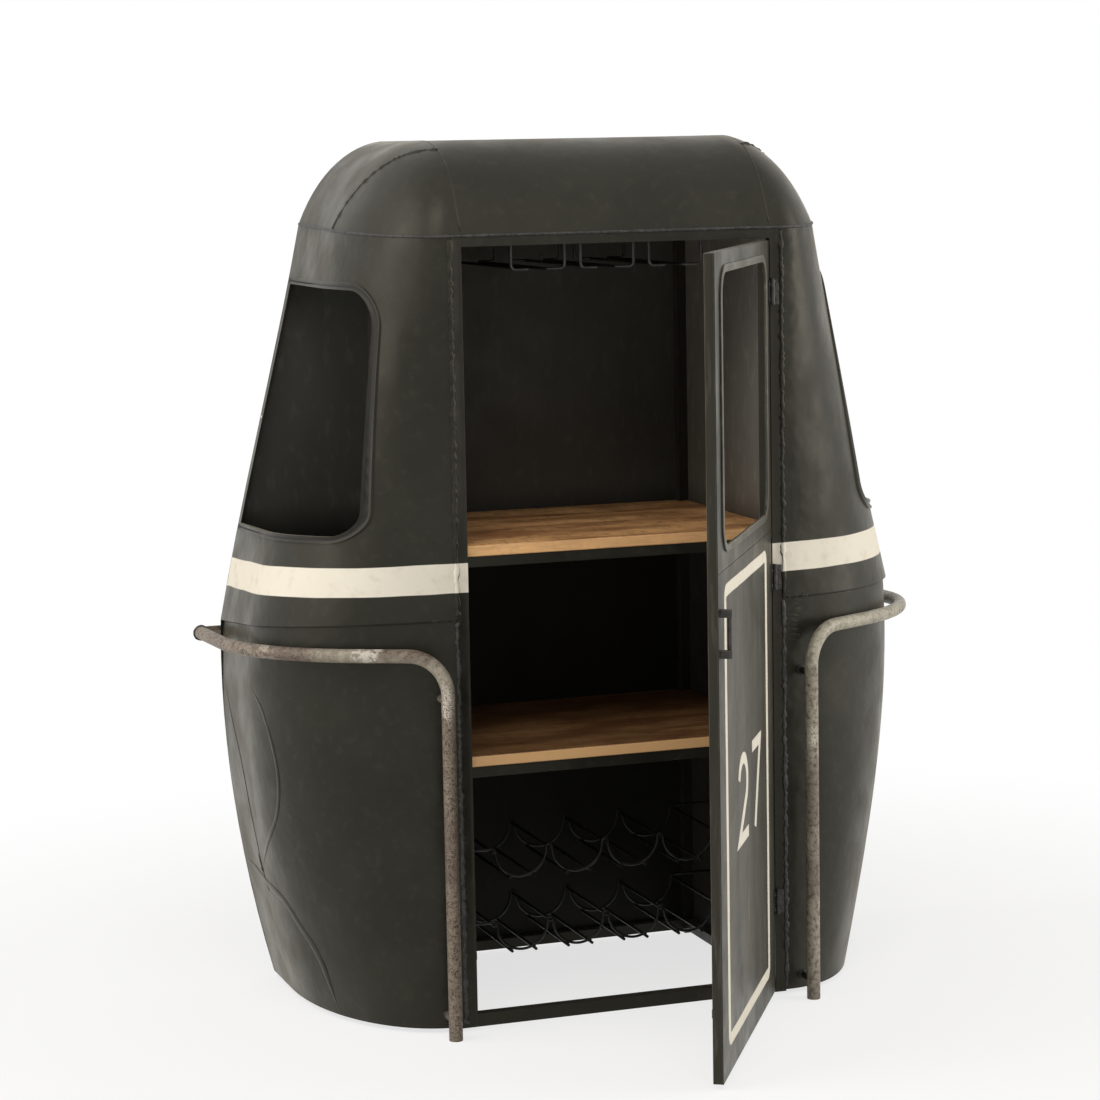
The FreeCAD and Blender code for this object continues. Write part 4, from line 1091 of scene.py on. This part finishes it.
def add_bolt(bm, place, normal, radius, height):
    """A hexagon head with a bevelled rim."""
    made = bmesh.ops.create_cone(bm, cap_ends=True, segments=6, radius1=radius, radius2=radius,
                                 depth=height)["verts"]
    bmesh.ops.translate(bm, vec=(0, 0, height / 2), verts=made)
    bmesh.ops.transform(bm, matrix=frame_on(place, normal), verts=made)
    rim = list({e for v in made for e in v.link_edges})
    bmesh.ops.bevel(bm, geom=rim, offset=radius * 0.1, offset_type="OFFSET", segments=2,
                    profile=0.5, affect="EDGES", material=-1)


HINGES = (0.160, 0.702, 1.166)
SCREW_STEP = 0.012
SCREW = 0.0022
SCREW_OUT = 0.0085
FRAME_LEAF = -0.002
DOOR_LEAF = 0.003


def hinge_screws(name, body, swing, x, y):
    """Two screws in one leaf of every hinge, moved by the body's swing."""
    bm = bmesh.new()
    for height in HINGES:
        for step in (-SCREW_STEP, SCREW_STEP):
            place = swing @ Vector((x, y, height + step))
            add_dome(bm, place, swing.to_3x3() @ -BACKWARD, SCREW)
    new_piece(name, bm, hardware, body, smooth=True)


hinge_screws("hinge_frame_screws", "cabinet", Matrix(), HINGE.x + SCREW_OUT, FRAME_LEAF)
hinge_screws("hinge_door_screws", "door", DOOR, -SCREW_OUT, DOOR_LEAF)

# %% Bolts at the rear and the rivet
TAB_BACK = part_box("left_handrail_brackets")[1].y
BOLT_X = 0.541
BOLT = 0.0065
BOLT_HIGH = 0.005
bm = bmesh.new()
for sign in (-1, 1):
    add_bolt(bm, Vector((sign * BOLT_X, TAB_BACK, RAIL_END.z)), BACKWARD, BOLT, BOLT_HIGH)
new_piece("tab_bolts", bm, hardware, "cabinet")

RIVET_Y = 0.443
RIVET_Z = 0.964
RIVET = 0.003
RIVET_DARK = (0.50, 0.48, 0.44, 1.0)
RIVET_PALE = (0.70, 0.68, 0.63, 1.0)
start = Vector((-BESIDE, RIVET_Y, RIVET_Z))
bm = bmesh.new()
for place, normal in drop(surface("left_upper_shell"), [start], SIDEWAYS):
    add_dome(bm, place, normal, RIVET)
pale_steel = dark_metal("pale_rivet", RIVET_DARK, RIVET_PALE, metallic=0.3, rough=0.4,
                        scale=300.0, depth=0.0001)
new_piece("window_rivet", bm, pale_steel, "cabinet", smooth=True)

# %% [markdown]
# ## The number on the door
#
# The door carries a plain two-figure number in the same cream. Each figure is one brush stroke:
# an edge as wide as the brush is pulled along a line of arcs and straights, and the flat ribbon is
# then given the thickness of paint. The figures are drawn on the closed door and swung open with
# it.

# %% Figures
FIGURE_HIGH = 0.142
FIGURE_WIDE = 0.096
BRUSH = 0.018
PAINT = 0.0004
NUMBER_MIDDLE = -0.247
NUMBER_HEIGHT = 0.403
FIGURE_STEP = 0.128
DOOR_FACE = 0.005
BOW_START = 165
BOW_END = -38
SEVEN_FOOT = 0.35
SHARPEST = 0.35


def arc(height, radius, start, end, count=14):
    """Points on an arc about a height on the middle line, angles in degrees."""
    points = []
    for number in range(count + 1):
        angle = math.radians(start + (end - start) * number / count)
        points.append(Vector((radius * math.cos(angle), 0.0, height + radius * math.sin(angle))))
    return points


def figure_two():
    bow = FIGURE_WIDE / 2 - BRUSH / 2
    top = FIGURE_HIGH - BRUSH / 2 - bow
    line = arc(top, bow, BOW_START, BOW_END)
    foot = BRUSH / 2
    return line + [Vector((-bow, 0.0, foot)), Vector((bow + BRUSH / 2, 0.0, foot))]


def figure_seven():
    wide = FIGURE_WIDE / 2 - BRUSH / 2
    top = FIGURE_HIGH - BRUSH / 2
    foot = Vector((-wide * SEVEN_FOOT, 0.0, 0.0))
    return [Vector((-wide, 0.0, top)), Vector((wide, 0.0, top)), foot]


def stroke_frames(line):
    """A frame for the brush at each point, mitred at the corners."""
    frames = []
    for number, point in enumerate(line):
        arriving = (point - line[number - 1]).normalized() if number else None
        leaving = (line[number + 1] - point).normalized() if number + 1 < len(line) else None
        arriving = arriving or leaving
        leaving = leaving or arriving
        heading = (arriving + leaving).normalized()
        side = Vector((-heading.z, 0.0, heading.x))
        width = BRUSH / max(SHARPEST, heading.dot(leaving))
        basis = Matrix((side, BACKWARD, heading)).transposed().to_4x4()
        frames.append(Matrix.Translation(point) @ basis @ Matrix.Diagonal((width, 1, 1, 1)))
    return frames


def brush_stroke(bm, frames):
    """An edge pulled through the frames."""
    ends = [bm.verts.new((-0.5, 0.0, 0.0)), bm.verts.new((0.5, 0.0, 0.0))]
    edge = bm.edges.new(ends)
    bmesh.ops.transform(bm, matrix=frames[0], verts=ends)
    pull(bm, [edge], frames)


bm = bmesh.new()
foot = NUMBER_HEIGHT - FIGURE_HIGH / 2
for line, shift in ((figure_two(), -0.5), (figure_seven(), 0.5)):
    place = Vector((NUMBER_MIDDLE + shift * FIGURE_STEP, DOOR_FACE, foot))
    brush_stroke(bm, stroke_frames([place + point for point in line]))
grown = bmesh.ops.extrude_face_region(bm, geom=bm.faces[:])["geom"]
bmesh.ops.translate(bm, vec=BACKWARD * -PAINT, verts=only(grown, bmesh.types.BMVert))
bmesh.ops.recalc_face_normals(bm, faces=bm.faces)
bmesh.ops.transform(bm, matrix=DOOR, verts=bm.verts)
new_piece("door_number", bm, cream_paint, "door")

# %% [markdown]
# ## The studio
#
# The picture is a cut-out on white, lit by one broad soft source from the left. The floor is a
# pale sheet that keeps the cabinet's shadow. The white behind it comes from the world as the camera
# and reflections see it, while a weaker grey world and three soft lamps do the lighting, so that
# black paint stays black. The strongest lamp stands beside the cabinet on the left, a weaker one
# on the right gives the far shell its sheen, and one in front reaches into the doorway.

# %% Floor
FLOOR_SIZE = 30.0
bm = bmesh.new()
bmesh.ops.create_grid(bm, x_segments=1, y_segments=1, size=FLOOR_SIZE)
floor_mesh = bpy.data.meshes.new("floor")
bm.to_mesh(floor_mesh)
bm.free()
floor = bpy.data.objects.new("floor", floor_mesh)
scene.collection.objects.link(floor)

WHITE = (1.0, 1.0, 1.0, 1.0)
FLOOR_WHITE = (0.94, 0.94, 0.94, 1.0)
FLOOR_ROUGH = 0.9
FLOOR_GLOW = 0.72
NEAR_FLOOR = 0.8
FAR_FLOOR = 2.2
floor_finish, floor_shader, floor_point = new_finish(
    "floor_paper", {"Base Color": FLOOR_WHITE, "Roughness": FLOOR_ROUGH})
tree = floor_finish.node_tree
rays = tree.nodes.new("ShaderNodeLightPath").outputs
seen = Signal(tree, rays["Is Camera Ray"]) + Signal(tree, rays["Is Glossy Ray"])
glow = seen.make("ShaderNodeEmission", {}, {"Color": WHITE, "Strength": 1.0})
paper = Signal(tree, floor_shader.outputs[0])
away = seen.make("ShaderNodeVectorMath", {"operation": "LENGTH"}, {0: floor_point}, "Value")
share = seen * ramp(away, NEAR_FLOOR, FAR_FLOOR, FLOOR_GLOW, 1.0)
both = seen.make("ShaderNodeMixShader", {}, {0: share, 1: paper, 2: glow})
tree.links.new(both.socket, tree.nodes["Material Output"].inputs["Surface"])
floor_mesh.materials.append(floor_finish)
print("floor", FLOOR_SIZE * 2, "m")

# %% World
WORLD_LIGHT = 0.34
WORLD_WARM = (1.0, 0.985, 0.96, 1.0)
world = bpy.data.worlds.new("studio")
scene.world = world
world.use_nodes = True
tree = world.node_tree
rays = tree.nodes.new("ShaderNodeLightPath").outputs
camera_ray = Signal(tree, rays["Is Camera Ray"])
seen = camera_ray + Signal(tree, rays["Is Glossy Ray"]) + Signal(tree, rays["Is Transmission Ray"])
seen = ramp(seen, 0.4, 0.6)
light = seen.make("ShaderNodeBackground", {}, {"Color": WORLD_WARM, "Strength": WORLD_LIGHT})
white = seen.make("ShaderNodeBackground", {}, {"Color": WHITE, "Strength": 1.0})
sky = seen.make("ShaderNodeMixShader", {}, {0: seen, 1: light, 2: white})
tree.links.new(sky.socket, tree.nodes["World Output"].inputs["Surface"])
print("world", WORLD_LIGHT)

# %% Lamps
LAMP_WARM = (1.0, 0.965, 0.9)
LIT = Vector((0.0, 0.1, 0.75))
# Each row: name, place, width, height, power
LAMPS = (
    ("left_softbox", Vector((-3.5, -0.1, 2.4)), 3.0, 4.2, 94.0),
    ("front_softbox", Vector((-1.0, -2.7, 4.6)), 2.6, 2.0, 60.0),
    ("right_softbox", Vector((3.3, -1.3, 1.7)), 1.8, 3.0, 64.0),
)

for name, place, width, height, power in LAMPS:
    data = bpy.data.lights.new(name, "AREA")
    data.shape = "RECTANGLE"
    data.size = width
    data.size_y = height
    data.energy = power
    data.color = LAMP_WARM
    lamp = bpy.data.objects.new(name, data)
    scene.collection.objects.link(lamp)
    turn = (LIT - place).to_track_quat("-Z", "Y").to_matrix().to_4x4()
    lamp.matrix_world = Matrix.Translation(place) @ turn
scene.view_settings.view_transform = "Standard"
print(len(LAMPS), "lamps")
